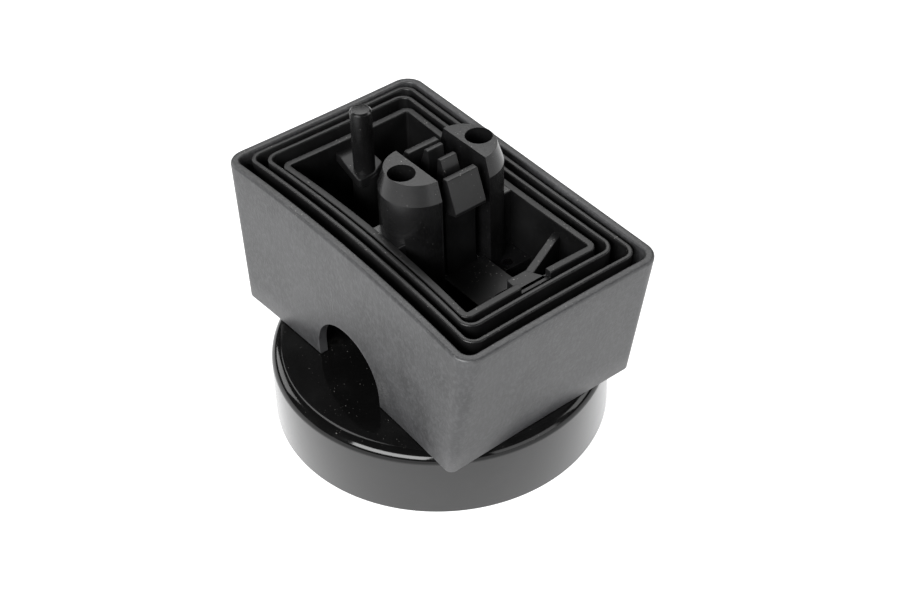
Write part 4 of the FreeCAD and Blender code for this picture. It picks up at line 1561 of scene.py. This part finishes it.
@dataclass
class Latches:
    """The raised block between the towers, its two snap latches and its two stop tabs."""

    finishes: Finishes
    middle: float = 3.0
    arm: Hook = SNAP_ARM
    tab: Hook = STOP_TAB

    def build_hook(self, name: str, node: str, hook: Hook, sign: int, body: Body) -> None:
        """One hooked arm.

        Args:
            name: name of the piece.
            node: the node that it stands for.
            hook: its sizes.
            sign: the side that it stands on, 1 towards the right.
            body: the body that it rides on.
        """
        outline = [(self.middle + sign * across, height) for across, height in hook.outline()]
        mesh = Shape.sideways(name, outline, -hook.half, hook.half)
        piece = Piece(self.finishes, mesh, body, Slot.LATCH)
        piece.smooth().soften(hook.bevel, angle=50, segments=2).stands_for(node)

    def build(self) -> None:
        """Builds both latches and tabs and dresses their block."""
        sides = {"front": (1, Body.FRONT_LATCH), "rear": (-1, Body.REAR_LATCH)}
        for name, (sign, body) in sides.items():
            self.build_hook(f"{name}_snap_arm", f"{name}_latch", self.arm, sign, body)
        for name, (sign, _) in sides.items():
            self.build_hook(f"{name}_stop_tab", f"{name}_tab", self.tab, sign, Body.BLOCK)
        CadPiece.dress(self.finishes, "latch_block", Slot.CARRIER)


# ---- Studio ----


@dataclass(frozen=True)
class SoftBox:
    """A soft rectangular light that aims at a point; all in metres and watts."""

    name: str
    stand: Point3
    aim: Point3
    size: Point2
    power: float

    def build(self) -> None:
        """Makes the light."""
        data = bpy.data.lights.new(self.name, "AREA")
        data.shape = "RECTANGLE"
        data.size, data.size_y = self.size
        data.energy = self.power
        lamp = place(self.name, data)
        lamp.location = self.stand
        towards = Vector(self.aim) - Vector(self.stand)
        lamp.rotation_mode = "QUATERNION"
        lamp.rotation_quaternion = towards.to_track_quat("-Z", "Y")


@dataclass
class Studio:
    """White paper floor, soft boxes, a dim room and the camera."""

    room: float = 0.03
    floor_reach: float = 3.0
    floor_steps: int = 60
    camera_place: Point3 = (0.24273, -0.18266, 0.29417)
    camera_right: Point3 = (0.62497, 0.78029, -0.02360)
    camera_up: Point3 = (-0.49963, 0.42304, 0.75592)
    lens: float = 64.09
    sensor: float = 36.0
    boxes: tuple[SoftBox, ...] = (
        SoftBox("back_box", (-0.60, 0.45, 1.06), (0.0, 0.0, 0.04), (1.0, 0.8), 10.0),
        SoftBox("front_box", (0.35, -0.95, 0.56), (0.0, 0.0, 0.05), (0.9, 0.5), 24.0),
        SoftBox("left_box", (-1.05, -0.40, 0.55), (0.0, 0.0, 0.03), (0.6, 0.5), 4.5),
        SoftBox("rear_box", (0.50, 1.00, 0.55), (0.0, 0.0, 0.03), (0.6, 0.5), 3.5),
        SoftBox("right_box", (1.15, 0.25, 0.30), (0.0, 0.0, 0.04), (0.9, 0.5), 4.0),
    )

    def build_floor(self) -> None:
        """A large sheet of white paper."""
        turns = [2 * math.pi * k / self.floor_steps for k in range(self.floor_steps)]
        reach = self.floor_reach
        ring = [(reach * math.cos(turn), reach * math.sin(turn), 0.0) for turn in turns]
        made = bpy.data.meshes.new("paper_floor")
        made.from_pydata(ring, [], [list(range(self.floor_steps))])
        made.materials.append(PaleFloor().build())
        floor = place("paper_floor", made)
        floor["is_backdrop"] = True

    def build_room(self) -> None:
        """The dim room round the table."""
        world = bpy.data.worlds.new("studio_room")
        world.use_nodes = True
        background = world.node_tree.nodes["Background"]
        background.inputs["Color"].default_value = (1.0, 1.0, 1.0, 1.0)
        background.inputs["Strength"].default_value = self.room
        bpy.context.scene.world = world

    def build_camera(self) -> None:
        """The camera."""
        data = bpy.data.cameras.new("camera")
        data.sensor_width = self.sensor
        data.lens = self.lens
        data.clip_start, data.clip_end = 0.01, 20.0
        eye = place("camera", data)
        right, up = Vector(self.camera_right), Vector(self.camera_up)
        back = right.cross(up)
        turn = Matrix((right, up, back)).transposed().to_4x4()
        eye.matrix_world = Matrix.Translation(self.camera_place) @ turn
        bpy.context.scene.camera = eye

    def build(self) -> None:
        """Builds the studio."""
        self.build_floor()
        self.build_room()
        for box in self.boxes:
            box.build()
        self.build_camera()
        bpy.context.scene.view_settings.view_transform = "Standard"


def main() -> None:
    """Builds the block and its studio."""
    logging.basicConfig(level=logging.INFO, format="%(name)s: %(message)s")
    Studio().build()
    finishes = Finishes()
    outer = (RingSize(42.1, 40.6, 25.0, 0.8, 3.6), RingSize(44.5, 43.6, 25.3, 0.8, 3.6))
    inner = (RingSize(40.4, 38.0, 22.4, 0.7, 3.6), RingSize(41.6, 39.2, 22.4, 0.7, 3.6))
    assemblies = [
        RoundBase(finishes),
        Pivot(finishes),
        Housing(finishes),
        Skirt(finishes, "outer_frame", "outer_skirt", Body.OUTER_SKIRT, *outer),
        Skirt(finishes, "inner_frame", "inner_skirt", Body.INNER_SKIRT, *inner),
        Carrier(finishes),
        Tower(finishes, Side.FRONT),
        Tower(finishes, Side.REAR),
        Latches(finishes),
    ]
    for assembly in assemblies:
        assembly.build()
    boxes = {"cad": CAD_BOX, "visual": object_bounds()}
    {key: [list(corner) for corner in box] for key, box in boxes.items()}


if __name__ == "__main__":
    main()
